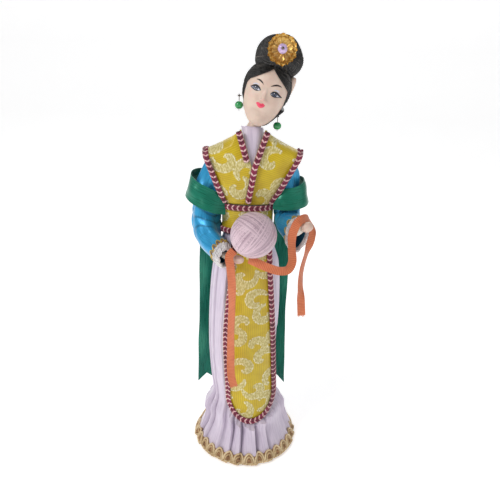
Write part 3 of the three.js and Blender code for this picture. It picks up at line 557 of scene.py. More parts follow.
def crushed_foil(name):
    """Gold foil with fine pressed ribs and small creases."""
    look = Look(name, {"Metallic": 0.85})
    cloth = look.cloth()
    crease = look.noise(cloth, 1.6, 4.0, 0.5)
    ribs = look.ribs(cloth, 0.5, "X", 0.8)
    base = look.mix(look.fade(crease, 0.3, 0.7), colour(206, 150, 60), colour(250, 222, 140))
    look.paint(look.mix(look.math("MULTIPLY", ribs, 0.3), base, colour(150, 92, 20)))
    look.rough(crease, 0.2, 0.42)
    look.bump(crease, 0.22, 0.8)
    look.bump(ribs, 0.06, 0.6)
    return look.material


def glass_bead(name, light, dark):
    look = Look(name, {
        "Roughness": 0.12, "Coat Weight": 0.6, "Coat Roughness": 0.08, "Specular IOR Level": 0.6,
    })
    swirl = look.noise(look.place(), 1.8, 3.0, 1.2)
    look.paint(look.mix(look.fade(swirl, 0.3, 0.7), dark, light))
    look.rough(swirl, 0.08, 0.22)
    look.bump(swirl, 0.03, 0.4)
    return look.material


def fibres(name, light, dark, size, roughness=0.9):
    """Felt, wadding or board: short matted fibres."""
    look = Look(name, {"Sheen Weight": 0.2, "Sheen Roughness": 0.6})
    mat = look.noise(look.place(), size, 6.0, 1.0)
    look.paint(look.mix(look.fade(mat, 0.3, 0.7), dark, light))
    look.rough(mat, roughness - 0.12, roughness)
    look.bump(mat, 0.3, 0.8)
    return look.material


def drawn_wire(name, light, dark, roughness=0.35, metal=0.9):
    """Metal wire with drawing marks and dull spots."""
    look = Look(name, {"Metallic": metal})
    marks = look.noise(look.place(), 0.7, 4.0)
    look.paint(look.mix(look.fade(marks, 0.35, 0.7), dark, light))
    look.rough(marks, roughness - 0.1, roughness + 0.2)
    look.bump(marks, 0.02, 0.6)
    return look.material


# The third colour of each satin is the painted shade that folds and inside faces are drawn towards.
WHITE_SATIN = satin(
    "white_satin", colour(230, 218, 234), colour(200, 186, 208), colour(122, 108, 132), 0.0, (0.32, 0.44),
)
BLUE_SATIN = satin(
    "blue_satin", colour(58, 182, 232), colour(14, 128, 190), colour(0, 62, 88), 0.35, (0.28, 0.38),
)
GREEN_SATIN = satin(
    "green_satin", colour(4, 138, 110), colour(0, 96, 74), colour(0, 50, 40), 0.3, (0.24, 0.32), (0.0, 1.2),
)
BROCADE_ACROSS = brocade("brocade_bodice", "Y")
BROCADE_ALONG = brocade("brocade_apron", "X")
BURGUNDY = thread("burgundy_yarn", colour(152, 34, 76), colour(92, 10, 40))
CREAM = thread("cream_yarn", colour(248, 212, 206), colour(226, 168, 176), 0.55)
# A darker copy of the burgundy yarn, laid as a sheet under the strands: painted shade in the gaps between
# them.
BRAID_GAP_SHADE = thread("braid_gap_shade", colour(96, 20, 44), colour(58, 8, 26), 0.8)
GOLD_THREAD = thread("gold_thread", colour(222, 194, 150), colour(176, 142, 96), 0.5, 0.2, 0.6, 0.2)
BROWN_THREAD = thread("bronze_thread", colour(186, 142, 98), colour(128, 90, 56), 0.5, 0.2, 0.6, 0.2)
PALE_THREAD = thread("pale_thread", colour(236, 216, 176), colour(204, 176, 128), 0.5)
LACE_WHITE = thread("lace_white", colour(246, 244, 242), colour(206, 202, 206), 0.6)
LACE_GOLD = thread("lace_gold", colour(222, 196, 96), colour(168, 134, 40), 0.4, 0.2, 0.6, 0.4)
ORANGE = grosgrain("orange_grosgrain", colour(228, 134, 86), colour(196, 100, 60))
PINK_SILK = wound_silk("pink_silk")
SKIN = porcelain_skin("painted_skin")
BROW_PAINT = painted("brow_paint", colour(58, 42, 38), colour(34, 24, 22), 0.55)
LASH_PAINT = painted("lash_paint", colour(34, 34, 48), colour(16, 16, 26), 0.5)
IRIS_PAINT = painted("iris_paint", colour(96, 108, 134), colour(54, 62, 88), 0.4, 0.5, 0.3)
WHITE_PAINT = painted("white_paint", colour(250, 250, 252), colour(226, 226, 236), 0.45)
EYE_PAINT = painted("eye_paint", colour(188, 192, 208), colour(146, 152, 174), 0.45)
LID_PAINT = painted("lid_paint", colour(226, 224, 238), colour(196, 196, 216), 0.55)
LIP_PAINT = painted("lip_paint", colour(250, 84, 116), colour(232, 52, 92), 0.35, 1.0, 0.4)
HAIR = silk_hair("silk_hair")
FOIL = crushed_foil("gold_foil")
LILAC = glass_bead("lilac_bead", colour(222, 196, 234), colour(188, 158, 208))
GREEN_BEAD = glass_bead("green_bead", colour(46, 178, 96), colour(14, 120, 62))
WIRE = drawn_wire("dull_wire", colour(136, 124, 112), colour(84, 74, 66))
FELT = fibres("base_felt", colour(74, 74, 80), colour(40, 40, 46), 0.8)
BOARD = fibres("base_board", colour(196, 160, 112), colour(160, 122, 76), 2.5)
WADDING = fibres("wadding", colour(244, 240, 230), colour(222, 214, 198), 2.0)

# ---- The orange ribbon: two free lengths from the hands ----

RIBBON_WIDTH = 5.5
RIBBON_THICK = 0.5
RIGHT_TAIL_LINE = [
    [-10.4, -34.2, 167.6], [-13.2, -35.4, 164], [-12.4, -36, 157], [-11.3, -35, 145], [-11.1, -34, 132],
    [-11.4, -33.2, 110], [-11.4, -33, 92], [-10.8, -33.4, 74], [-8.6, -34, 64.8],
]
RIGHT_TAIL_FACING = [
    [0.1, -1, 0.3], [-0.2, -1, 0.1], [-0.7, -1, 0], [-0.6, -1, 0], [-0.2, -1, 0], [0.1, -1, 0],
]
LEFT_LENGTH_LINE = [
    [-0.5, -36.4, 162.7], [5, -40.2, 161.6], [11.4, -42.2, 159.6], [19, -41.6, 157.2],
    [24.6, -40, 157.6], [27.2, -37.6, 161.6],
    [26.8, -35.4, 170], [26.6, -34, 178], [28.4, -33.4, 184.6], [30.4, -32.6, 187.6], [32.8, -30.6, 188.8],
    [35.8, -27.4, 188.6], [38.8, -24.6, 185.2], [40.6, -24.2, 181], [40.4, -25.4, 176], [37.6, -27.6, 166],
    [35, -28.6, 154], [34.6, -28.4, 144], [35.6, -28, 133.5], [36.9, -28, 119.6],
]
LEFT_LENGTH_FACING = [
    [0, -1, 0.1], [0, -1, 0.1], [0, -1, 0.1], [0.2, -1, 0.3], [0.5, -1, 0.2],
    [-0.3, -1, 0], [0, -1, 0.3], [0.35, -0.3, 1],
    [0.5, -0.4, 1], [0.9, -0.5, 0.3], [0.9, -0.6, 0], [0.8, -0.7, 0], [0.2, -1, 0], [0.1, -1, 0],
]
FRAY = 1.6  # how far loose threads stand out of a cut end


def ribbon_sheet(line, facing, width, thick, columns, ripple=0.0, ends=(0.0, 0.0), fork=0.0):
    """Front and back grids of a ribbon. ends pulls columns in at each end; fork notches the far end."""
    along, out, across = frames(line, facing)
    place = np.linspace(-1, 1, columns)
    grid = line[:, None] + across[:, None] * (place * width / 2)[None, :, None]
    rows = np.linspace(0, 1, len(line))
    wave = np.sin(rows * 17 + 1)[:, None] * np.cos(place * 2.6)[None]
    wave = wave + 0.5 * np.sin(rows * 31)[:, None] * place[None]
    grid = grid + out[:, None] * (ripple * wave)[..., None]
    tooth = (np.arange(columns) % 2) * 1.0
    grid[0] += along[0] * (tooth * ends[0])[:, None]
    grid[-1] -= along[-1] * (tooth * ends[1])[:, None]
    if fork:
        near = smooth(rows, 0.8, 1.0)[:, None, None]
        grid = grid - along[:, None] * near * fork * (1 - np.abs(place))[None, :, None]
    half = out[:, None] * thick / 2
    return grid + half, grid - half


def frayed_threads(shape, line, facing, seed, look):
    """Short loose threads along a ribbon's cut far end."""
    chance = np.random.default_rng(seed)
    along, out, across = frames(line, facing)
    for place in np.linspace(-0.46, 0.46, 14):
        root = line[-1] + across[-1] * place * RIBBON_WIDTH - along[-1] * FRAY
        bend = across[-1] * chance.uniform(-0.5, 0.5) + out[-1] * chance.uniform(-0.3, 0.3)
        reach = along[-1] * FRAY * chance.uniform(1.0, 1.9)
        strand = [root, root + reach * 0.6 + bend * 0.4, root + reach + bend]
        points, faces = tube(smooth_line(strand, 5), [0.16, 0.15, 0.13, 0.1, 0.06], 5)
        shape.add(points, faces, look, cloth=np.zeros((len(points), 3)))


def add_free_ribbon(name, points, facing_keys, nodes, seed):
    count = 12 * len(points)
    line = smooth_line(points, count)
    facing = spread(facing_keys, count)
    front, back = ribbon_sheet(line, facing, RIBBON_WIDTH, RIBBON_THICK, 9, 0.12, (0.0, 0.7))
    shape = Shape().add(*shell(front, back), cloth=cloth_map(front))
    frayed_threads(shape, line, facing, seed, 0)
    made = piece(name, shape, [ORANGE], "figure", nodes)
    return made


add_free_ribbon("orange_ribbon_right", RIGHT_TAIL_LINE, RIGHT_TAIL_FACING, ["ribbon_tail_right"], 3)
LEFT_NODES = ["ribbon_swag", "ribbon_wrap_left", "ribbon_tail_left"]
add_free_ribbon("orange_ribbon_left", LEFT_LENGTH_LINE, LEFT_LENGTH_FACING, LEFT_NODES, 4)

# ---- Skirt and its gimp hem ----

PLEATS = 18
SKIRT_WALL = 0.5
SKIRT_LOW, SKIRT_HIGH = 1.6, 177.0
PLEAT_DEPTHS = [  # height above the floor, how deep the pleats are there
    [0, 2.2], [9, 3.8], [18, 5.8], [29, 6.6], [36, 5.0],
    [43, 2.2], [70, 1.9], [140, 1.7], [170, 0.6], [180, 0.3],
]
PUFF_HEIGHT, PUFF_SPREAD, PUFF_OUT = 30.0, 6.5, 3.8  # where the flounce stands out below the straight skirt


def apron_centre(z):
    return lerp(4.7, 1.2, smooth(z, 30, 110))


def apron_half_width(z):
    drop = np.maximum(0, 47 - z) / 20
    return lerp(19.6, 14.2, smooth(z, 85, 172)) * np.sqrt(np.maximum(0.0004, 1 - drop * drop))


def pleat_phase(angle, z):
    """Counts pleats round the skirt. They differ in width and lean a little as they rise."""
    uneven = 0.32 * np.sin(3 * angle + 0.7) + 0.22 * np.sin(7 * angle + 2.1) + 0.16 * np.sin(5 * angle - 1.2)
    lean = 0.25 * np.sin(2 * angle + 0.4) * smooth(z, 20, 150)
    return PLEATS * angle / TURN + uneven + lean


def pleat_height(angle, z):
    """Knife pleats: each panel swells slowly and drops away sharply."""
    share = pleat_phase(angle, z) % 1
    swell = 0.25 + 0.75 * (share / 0.88) ** 0.8
    drop = smooth(1 - share, 0, 0.12) * 0.75 + 0.25
    panel = np.where(share < 0.88, swell, drop)
    depths = np.array(PLEAT_DEPTHS)
    swing = 1 + 0.4 * np.sin(angle * 4 + 1.0 + z * 0.02)
    return (panel - 0.45) * np.interp(z, depths[:, 0], depths[:, 1]) * swing


def skirt_out(angle, z):
    """How far the skirt's face stands out, held down where the apron lies on it."""
    swing = 0.8 + 0.4 * np.sin(angle * 3 + 0.6)
    puff = PUFF_OUT * np.exp(-(((z - PUFF_HEIGHT) / PUFF_SPREAD) ** 2)) * swing
    raw = SKIRT_OUT + pleat_height(angle, z) + puff
    place = body_point(angle, z, SKIRT_OUT)
    beside = np.abs(place[..., 0] - apron_centre(z)) - apron_half_width(z)
    under = (1 - smooth(beside, 0.5, 5)) * (np.cos(angle) > 0) * smooth(z, 22, 26.5)
    limit = lerp(20, 1.75, under)
    return np.maximum(np.minimum(raw, limit), 0.2)


def add_skirt():
    columns, rows = 432, 84
    angle = np.linspace(0, TURN, columns, endpoint=False)[None, :]
    z = (SKIRT_LOW + (SKIRT_HIGH - SKIRT_LOW) * np.linspace(0, 1, rows) ** 1.35)[:, None]
    angle, z = np.broadcast_arrays(angle, z)
    out = skirt_out(angle, z)
    front = body_point(angle, z, out)
    back = body_point(angle, z, out - SKIRT_WALL)
    # Painted shade: fold drops in the low part of each pleat, darkening the satin there.
    deep = smooth(pleat_height(angle, z) / np.interp(z, *np.array(PLEAT_DEPTHS).T), -0.42, 0.1)
    shape = Shape().add(*shell(front, back, True), cloth=cloth_map(front), fold=np.tile(deep.ravel(), 2))
    return piece("skirt_pleats", shape, [WHITE_SATIN], "figure", ["skirt"], 60)


GIMP_SCALLOPS = 30
GIMP_PITCH = 7.8  # mm from one scallop to the next
GIMP_LOW = 0.8
GIMP_ARCHES = (  # the cords of one scallop: half width, height, out from the skirt, radius, thread
    (3.5, 6.0, 1.7, 0.7, 2), (2.2, 4.2, 1.9, 0.6, 0), (1.0, 2.6, 2.0, 0.5, 1),
)


def gimp_place(turns, height, out):
    """A place on the gimp: turns round the hem, height above the floor, out from the skirt."""
    angle = np.asarray(turns) * TURN
    z = np.asarray(height, float)
    under = SKIRT_OUT + 0.55 * pleat_height(angle, np.maximum(z, 6.0))
    return body_point(angle, z, under + out)


def add_gimp():
    shape = Shape()
    turns = np.linspace(0, 1, 260, endpoint=False)[None, :]
    share = np.linspace(0, 1, 5)[:, None]
    top = 5.6 + 2.4 * np.abs(np.sin(np.pi * GIMP_SCALLOPS * turns))
    height = lerp(GIMP_LOW, top, share)
    turns, height = np.broadcast_arrays(turns, height)
    shape.add(*shell(gimp_place(turns, height, 1.3), gimp_place(turns, height, 0.5), True), 1)
    arc = np.linspace(0, np.pi, 15)
    for k in range(GIMP_SCALLOPS):
        for width, lift, out, radius, look in GIMP_ARCHES:
            turn = (k + 0.5 - np.cos(arc) * width / GIMP_PITCH) / GIMP_SCALLOPS
            line = gimp_place(turn, 1.8 + np.sin(arc) * lift, out - 0.3)
            shape.add(*tube(line, radius, 7), look)
    steps = np.arange(420) / 420
    for shift in (0, 0.5):
        wave = np.sin((steps * 78 + shift) * TURN)
        line = gimp_place(steps, 1.75 + 0.55 * wave, 1.9 + 0.3 * np.cos((steps * 78 + shift) * TURN))
        shape.add(*tube(line, 0.5, 6, True), 2 if shift else 0)
    threads = [GOLD_THREAD, BROWN_THREAD, PALE_THREAD]
    return piece("hem_gimp_braid", shape, threads, "figure", ["hem_gimp"])


# ---- Brocade: apron, vest and waistband ----

SCROLL_PITCH = (15.5, 18.0)
SCROLL_RAISE = 0.14


def scroll_depth(x, z):
    """How far inside a woven scroll a place is, in millimetres; below zero is the ground between them."""
    best = np.full(np.shape(x), -9.0)
    arc = np.linspace(0, 1, 26)
    for row in range(-1, 15):
        for column in range(-4, 5):
            odd = (row + column) % 2
            centre_x = column * SCROLL_PITCH[0] + (6 if row % 2 else -3)
            centre_z = row * SCROLL_PITCH[1] + (7 if column % 2 else 0)
            turn = (1 if odd else -1) * (0.6 + 4.6 * arc)
            start = 0.9 * row + 2.0 * column
            radius = 1.8 + 6.4 * (1 - arc) ** 0.7
            half = 0.3 + 2.9 * np.sin(np.pi * (0.08 + 0.88 * arc)) ** 0.8
            px = centre_x + radius * np.cos(start + turn)
            pz = centre_z + radius * np.sin(start + turn) * 0.92
            near = (np.abs(x - centre_x) < 14) & (np.abs(z - centre_z) < 14)
            if not near.any():
                continue
            gap = np.hypot(x[near][:, None] - px, z[near][:, None] - pz)
            best[near] = np.maximum(best[near], (half - gap).max(1))
    return best


def raised(surface, x, z, out, wall):
    """Front and back grids of brocade, its scrolls standing a little proud, and their depths."""
    depth = scroll_depth(x, z)
    front = surface(out + SCROLL_RAISE * smooth(depth, -0.2, 0.4))
    back = surface(out - wall)
    return front, back, np.concatenate([depth.ravel()] * 2)


def add_apron():
    rows, columns = 270, 72
    v, u = np.meshgrid(np.linspace(0, 1, rows), np.linspace(0, 1, columns), indexing="ij")
    bend = 20 * (1 - np.cos(np.minimum(v, 0.25) / 0.25 * np.pi / 2))
    z = 27 + bend + np.maximum(0, (v - 0.25) / 0.75) * 125
    x = apron_centre(z) + (2 * u - 1) * apron_half_width(z)
    wave = 0.25 * np.sin(x * 0.33 + z * 0.05) * np.sin(z * 0.06 + 1)

    def surface(out):
        return np.stack([x, front_y(x, z, out + wave), z], -1)

    front, back, depth = raised(surface, x, z, APRON_OUT, 0.6)
    shape = Shape().add(*shell(front, back), cloth=cloth_map(front), scroll=depth)
    return piece("apron_brocade", shape, [BROCADE_ALONG], "figure", ["apron"])


LAPEL_LOW = (-4.4, 193.4)
CROSSING = (-0.3, 219.0)
NECK_SIDE, NECK_SIDE_Z = 8.6, 243.0
SHOULDER_TIP, SHOULDER_TIP_Z = 34.0, 228.0
WAIST_HALF = 17.4


def shoulder_z(x):
    t = (np.abs(x) - NECK_SIDE) / (SHOULDER_TIP - NECK_SIDE)
    return lerp(NECK_SIDE_Z - 1, SHOULDER_TIP_Z, np.clip(np.maximum(t, 0) ** 0.75, 0, 1.02))


def armhole_x(z):
    return lerp(WAIST_HALF, SHOULDER_TIP, np.clip((z - LAPEL_LOW[1]) / (SHOULDER_TIP_Z - LAPEL_LOW[1]), 0, 1))


def vest_y(x, z, out, face):
    """The vest's y at a place, out beyond the body, on the front (face -1) or the back (face 1)."""
    centre, _, depth = read_sections(BODY_SECTIONS, z)
    across = np.minimum(1, np.abs(x - centre) / (armhole_x(z) + np.abs(centre)))
    edge = lerp(4.2, 8.2, smooth(z, LAPEL_LOW[1], 206)) + out - VEST_IN
    middle = np.maximum(depth + out, edge)
    stand = 9 * (1 - smooth(np.abs(x), 9.5, 15))
    drop = np.clip((shoulder_z(x) + stand - z) / 7, 0, 1)
    roll = np.sqrt(1 - (1 - drop) ** 2)
    return face * (0.2 + lerp(middle, edge, across * across) * roll)


def overlap_x(z):
    low = (z - LAPEL_LOW[1]) / (CROSSING[1] - LAPEL_LOW[1])
    high = (z - CROSSING[1]) / (NECK_SIDE_Z - CROSSING[1])
    return np.where(high < 0, lerp(LAPEL_LOW[0], CROSSING[0], low), lerp(CROSSING[0], NECK_SIDE - 0.8, high))


def underlap_x(z):
    high = (z - CROSSING[1]) / (NECK_SIDE_Z - CROSSING[1])
    return np.where(high < 0, overlap_x(z) - 0.3, lerp(CROSSING[0] - 0.3, -NECK_SIDE + 0.4, high))


def vest_panel(inner_x, side, face, rows=110, columns=66):
    v, u = np.meshgrid(np.linspace(0, 1, rows), np.linspace(0, 1, columns), indexing="ij")
    inner_z = lerp(LAPEL_LOW[1], NECK_SIDE_Z, v)
    outer_z = lerp(LAPEL_LOW[1], SHOULDER_TIP_Z, v)
    x = lerp(inner_x(inner_z), side * armhole_x(outer_z) - 2.4 * (1 - v), u)
    z = lerp(inner_z, outer_z, u)
    z = np.minimum(z, lerp(z, shoulder_z(x), v))
    pucker = 0.35 * np.sin(u * 9 + v * 5) * smooth(u, 0.35, 0.8)
    pucker = pucker * (1 - smooth(v, 0.75, 1)) * (1 - smooth(u, 0.9, 1))

    def surface(out):
        return np.stack([x, vest_y(x, z, out + pucker, face), z], -1)

    return raised(surface, x, z, VEST_OUT, 0.6)


def add_vest():
    made = []
    for name, inner, side in (("vest_front_left", overlap_x, 1), ("vest_front_right", underlap_x, -1)):
        front, back, depth = vest_panel(inner, side, -1)
        shape = Shape().add(*shell(front, back), cloth=cloth_map(front), scroll=depth)
        made.append(piece(name + "_brocade", shape, [BROCADE_ACROSS], "figure", [name]))
    halves = [vest_panel(lambda z: 0 * z, side, 1) for side in (-1, 1)]
    left, right = halves
    front = np.concatenate([left[0][:, ::-1], right[0][:, 1:]], 1)
    back = np.concatenate([left[1][:, ::-1], right[1][:, 1:]], 1)
    depth = scroll_depth(front[..., 0], front[..., 2])
    scroll = np.tile(depth.ravel(), 2)
    shape = Shape().add(*shell(front, back), cloth=cloth_map(front), scroll=scroll)
    made.append(piece("vest_back_brocade", shape, [BROCADE_ACROSS], "figure", ["vest_back"]))
    return made


def add_waistband():
    rows, columns = 34, 180
    z, angle = round_grid(174.6, 191, rows, columns)
    centre = body_point(angle, z, BAND_OUT)
    depth = scroll_depth(centre[..., 0], centre[..., 2])
    front = body_point(angle, z, BAND_OUT - 0.1 + SCROLL_RAISE * smooth(depth, -0.2, 0.4))
    back = body_point(angle, z, BAND_OUT - 0.7)
    scroll = np.tile(depth.ravel(), 2)
    shape = Shape().add(*shell(front, back, True), cloth=cloth_map(front), scroll=scroll)
    return piece("waistband_brocade", shape, [BROCADE_ACROSS], "figure", ["waistband"])


def add_collar():
    rows, columns = 60, 40
    v, u = np.meshgrid(np.linspace(0, 1, rows), np.linspace(0, 1, columns), indexing="ij")
    top = NECK_SIDE_Z + 0.4 + 0.8 * np.maximum(0, 1 - 2.2 * u)
    z = lerp(CROSSING[1] - 2, top, v)
    x = lerp(CROSSING[0], -1, v) + (2 * u - 1) * lerp(1.2, 7.4, v)
    fold = 0.3 * np.sin(np.pi * u * 3) * v

    def surface(out):
        return np.stack([x, front_y(x, np.minimum(z, NECK_SIDE_Z), out), z], -1)

    flat = cloth_map(surface(1.0))
    front, back = surface(COLLAR_OUT + fold), surface(0.5 + fold)
    shape = Shape().add(*shell(front, back), cloth=flat, fold=np.ones(len(flat)))
    return piece("inner_collar_satin", shape, [WHITE_SATIN], "figure", ["inner_collar"])


NECKBAND_LOW, NECKBAND_HIGH = 233.0, 243.0
NECKBAND_FOOT, NECKBAND_TOP = 8.4, 6.2  # radius where it starts and where it ends
NECKBAND_DEEP = 0.92  # its depth, front to back, as a share of its width
NECKBAND_WALL = 0.45


def add_neckband():
    """The white collar that stands round the neck inside the vest, leaning the way the neck leans."""
    rows, columns = 26, 96
    v, angle = round_grid(0, 1, rows, columns)
    z = lerp(NECKBAND_LOW, NECKBAND_HIGH, v) + 1.1 * v * np.cos(angle + 0.6) + 0.25 * v * np.sin(angle * 4)
    centre = lerp(-1.2, 0.6, v)
    size = lerp(NECKBAND_FOOT, NECKBAND_TOP, v ** 0.6) + 0.15 * np.sin(angle * 5 + 2 * v)

    def surface(out):
        x = centre + (size + out) * np.sin(angle)
        y = -(size + out) * NECKBAND_DEEP * np.cos(angle)
        return np.stack([x, y, z], -1)

    front = surface(0.0)
    fold = np.ones(2 * z.size)
    shape = Shape().add(*shell(front, surface(-NECKBAND_WALL), True), cloth=cloth_map(front), fold=fold)
    return piece("neckband_satin", shape, [WHITE_SATIN], "figure")


YOKE_HEIGHTS = [225.5, 227.5, 229.5, 231.5, 233.0]
YOKE_FOOT_Z = 234.4  # where it meets the neckband
YOKE_FOOT = (8.3, 7.7)  # half width and half depth of the hole for the neck
YOKE_WALL = 0.4
NECK_FOOT_X = -1.2


def add_yoke():
    """The white under-robe over the shoulders, from inside the vest up to the foot of the neckband."""
    columns = 96
    angle = np.linspace(0, TURN, columns, endpoint=False)

    def surface(out):
        rings = [body_point(angle, np.full(columns, z), YOKE_OUT + out) for z in YOKE_HEIGHTS]
        foot_x = NECK_FOOT_X + (YOKE_FOOT[0] + out) * np.sin(angle)
        foot_y = -(YOKE_FOOT[1] + out) * np.cos(angle)
        foot = np.stack([foot_x, foot_y, 0 * angle + YOKE_FOOT_Z + out], -1)
        rings.append(lerp(rings[-1], foot, 0.55) + [0, 0, 0.3])
        return np.stack(rings + [foot])

    front = surface(0.0)
    fold = np.ones(front[..., 0].size * 2)
    shape = Shape().add(*shell(front, surface(-YOKE_WALL), True), cloth=cloth_map(front), fold=fold)
    return piece("yoke_satin", shape, [WHITE_SATIN], "figure")


# ---- Braid ----

STITCH = 1.24  # length of braid for one strand on each side
STRAND_RINGS = np.linspace(-1, 1, 7)
STRAND_SIDES = np.arange(6) * TURN / 6


def evened(place):
    """The same braid with t made even along its length, and that length."""
    fine = np.linspace(0, 1, 4001)
    steps = np.linalg.norm(np.diff(place(fine, 0 * fine + 0.5, 0 * fine + 0.4), axis=0), axis=1)
    at = np.concatenate([[0], np.cumsum(steps)])
    return (lambda t, across, out: place(np.interp(t, at / at[-1], fine), across, out)), at[-1]


def plait(name, place, nodes, closed=False):
    """Herringbone braid. place(t, across, out) gives a point for t along it, 0 to 1, and across, 0 to 1."""
    shape = Shape()
    place, length = evened(place)
    count = int(round(length / STITCH / 3)) * 3
    columns = max(12, count)
    t = np.linspace(0, 1, columns, endpoint=not closed)
    across, grid_t = np.meshgrid([0.1, 0.9], t)
    low, high = place(grid_t, across, 0.0), place(grid_t, across, 0.45)
    # The sheet under the strands takes the third look, a darker burgundy that paints shade in the gaps
    # between strands.
    if closed:
        shape.add(*shell(high.transpose(1, 0, 2), low.transpose(1, 0, 2), True), 2)
    else:
        shape.add(*shell(high, low), 2)
    step = 1 / count
    starts = (np.arange(count) + 0.5) * step
    if not closed:
        starts = starts[: count - 1]
    for side in (0, 1):
        for kind, look, thick in ((0, 1, 0.58), (1, 0, 0.64), (2, 0, 0.64)):
            chosen = starts[kind::3]
            shape.add(*strand_set(place, chosen, step, side, thick), look)
    return piece(name, shape, [BURGUNDY, CREAM, BRAID_GAP_SHADE], "figure", nodes, 80)


def strand_set(place, starts, step, side, thick):
    """All the slanting strands of one colour on one side of a braid, as one set of closed lozenges."""
    reach = STRAND_RINGS[None, :]
    lean = starts[:, None] + step * (0.95 * (1 - reach) / 2 * 1.6 - 0.4)
    lean = np.clip(lean, 0.0005, 0.9995)
    lane = 0.5 + (0.49 if side else -0.49) * (1 - reach) / 2 + (-0.05 if side else 0.05) * (1 + reach) / 2
    lift = 0.55 + 0.5 * np.cos(reach * 1.25) + 0 * lean
    lane = lane + 0 * lean
    centre = place(lean, lane, lift)
    along = unit(np.gradient(centre, axis=1))
    out = unit(place(lean, lane, lift + 0.2) - centre)
    wide = unit(np.cross(along, out))
    girth = thick * np.sqrt(np.clip(1.06 - reach ** 2, 0.05, 1))[..., None, None]
    circle_a = np.cos(STRAND_SIDES)[None, None, :, None]
    circle_b = np.sin(STRAND_SIDES)[None, None, :, None]
    rings = centre[:, :, None] + girth * (wide[:, :, None] * circle_a + 0.72 * out[:, :, None] * circle_b)
    count, length, sides = rings.shape[:3]
    one = np.array(loft(rings[0])[1][: (length - 1) * sides])
    caps = [list(range(sides))[::-1], list(range((length - 1) * sides, length * sides))]
    faces = []
    for k in range(count):
        shift = k * length * sides
        faces += (one + shift).tolist() + [[i + shift for i in cap] for cap in caps]
    return rings.reshape(-1, 3), faces


def apron_edge(t, across, out):
    turn = (t - 0.5) * 2
    side = np.where(turn < 0, -1, 1)
    size = np.abs(turn)
    v = np.where(size < 0.3, 0.25 * size / 0.3, 0.25 + 0.75 * (size - 0.3) / 0.7)
    bend = 1 - np.cos(np.minimum(v, 0.25) / 0.25 * np.pi / 2)
    z = 27 + 20 * bend + np.maximum(0, (v - 0.25) / 0.75) * 125
    x = apron_centre(z) + side * apron_half_width(z)
    to_x, to_z = apron_centre(z) - x, np.maximum(z, 47) - z
    size = np.hypot(to_x, to_z)
    x, z = x + to_x / size * across * BRAID_WIDTH, z + to_z / size * across * BRAID_WIDTH
    return np.stack([x, front_y(x, z, APRON_OUT + 0.3 + out), z], -1)


def lapel_edge(inner_x, side, low):
    def place(t, across, out):
        z = lerp(low, NECK_SIDE_Z - 1.4, t)
        x = inner_x(z) + side * across * BRAID_WIDTH * 0.97
        height = z - across * BRAID_WIDTH * 0.3
        return np.stack([x, vest_y(x, height, LAPEL_TRIM_IN + out, -1), height], -1)

    return place


def armhole_edge(side):
    def place(t, across, out):
        face = np.where(t < 0.5, -1, 1)
        climb = 1 - np.abs(t - 0.5) * 2
        z = lerp(LAPEL_LOW[1] + 0.3, SHOULDER_TIP_Z, climb) - 0.3
        x = side * (armhole_x(z) + 0.6 - across * BRAID_WIDTH * 1.1) - 2.4 * (1 - climb)
        top = SHOULDER_TIP_Z + 0.2 + out + across * 1.4
        height = lerp(z, top, climb ** 24)
        y = vest_y(x, np.minimum(height, shoulder_z(x)), LAPEL_TRIM_IN + out, face)
        return np.stack([x, y, height], -1)

    return place


def waist_edge(middle):
    def place(t, across, out):
        z = middle + (across - 0.5) * BRAID_WIDTH
        return body_point(t * TURN, z, TRIM_IN + out)

    return place


def add_braids():
    return {
        "apron": plait("apron_edge_braid", apron_edge, ["apron_braid"]),
        "lapels": [
            plait("lapel_left_braid", lapel_edge(overlap_x, 1, 194.8), ["lapel_braid_left"]),
            plait("lapel_right_braid", lapel_edge(underlap_x, -1, 222.2), ["lapel_braid_right"]),
        ],
        "armholes": [
            plait("armhole_left_braid", armhole_edge(1), ["armhole_braid_left"]),
            plait("armhole_right_braid", armhole_edge(-1), ["armhole_braid_right"]),
        ],
        "waist": [
            plait("waist_lower_braid", waist_edge(174.6), ["waist_braid_lower"], True),
            plait("waist_upper_braid", waist_edge(191.0), ["waist_braid_upper"], True),
        ],
    }


# ---- Arms, sleeves, cuffs and hands ----

ARMS = {
    "right": {
        "line": [[-22.4, 0.3, 225.8], [-26.6, 0.5, 211], [-31, 0.3, 195], [-31.8, -2, 179], [-27.6, -11, 168],
                 [-19.4, -23, 162]],
        "cuff": (10.2, 6.4), "widths": (7.4, 9.2, 9.8), "lace": 5.6, "flare": -0.42,
        "hand": (-7.9, -30.2, 160.2), "wrist": (-12.6, -28.6, 160.2), "size": (4.2, 2.9, 2.9),
        "folds": 0.0,
    },
    "left": {
        "line": [[20.4, 0.3, 225.8], [23.8, 0.5, 211], [25.8, 0.3, 197], [25.8, -2, 186], [26.2, -9.5, 179.4],
                 [30.4, -20.2, 176.6]],
        "cuff": (11.8, 7.2), "widths": (7.0, 8.0, 8.7), "lace": 2.6, "flare": 0.1,
        "hand": (36.4, -29.4, 183.4), "wrist": (33.6, -26, 181), "size": (3.9, 3.7, 3.4),
        "folds": 1.7,
    },
}
SLEEVE_WALL = 0.5


def sleeve_frame(line):
    along = unit(np.gradient(line, axis=0))
    first = unit(np.cross(np.array([1.0, 0, 0]), along))
    return along, first, np.cross(along, first)


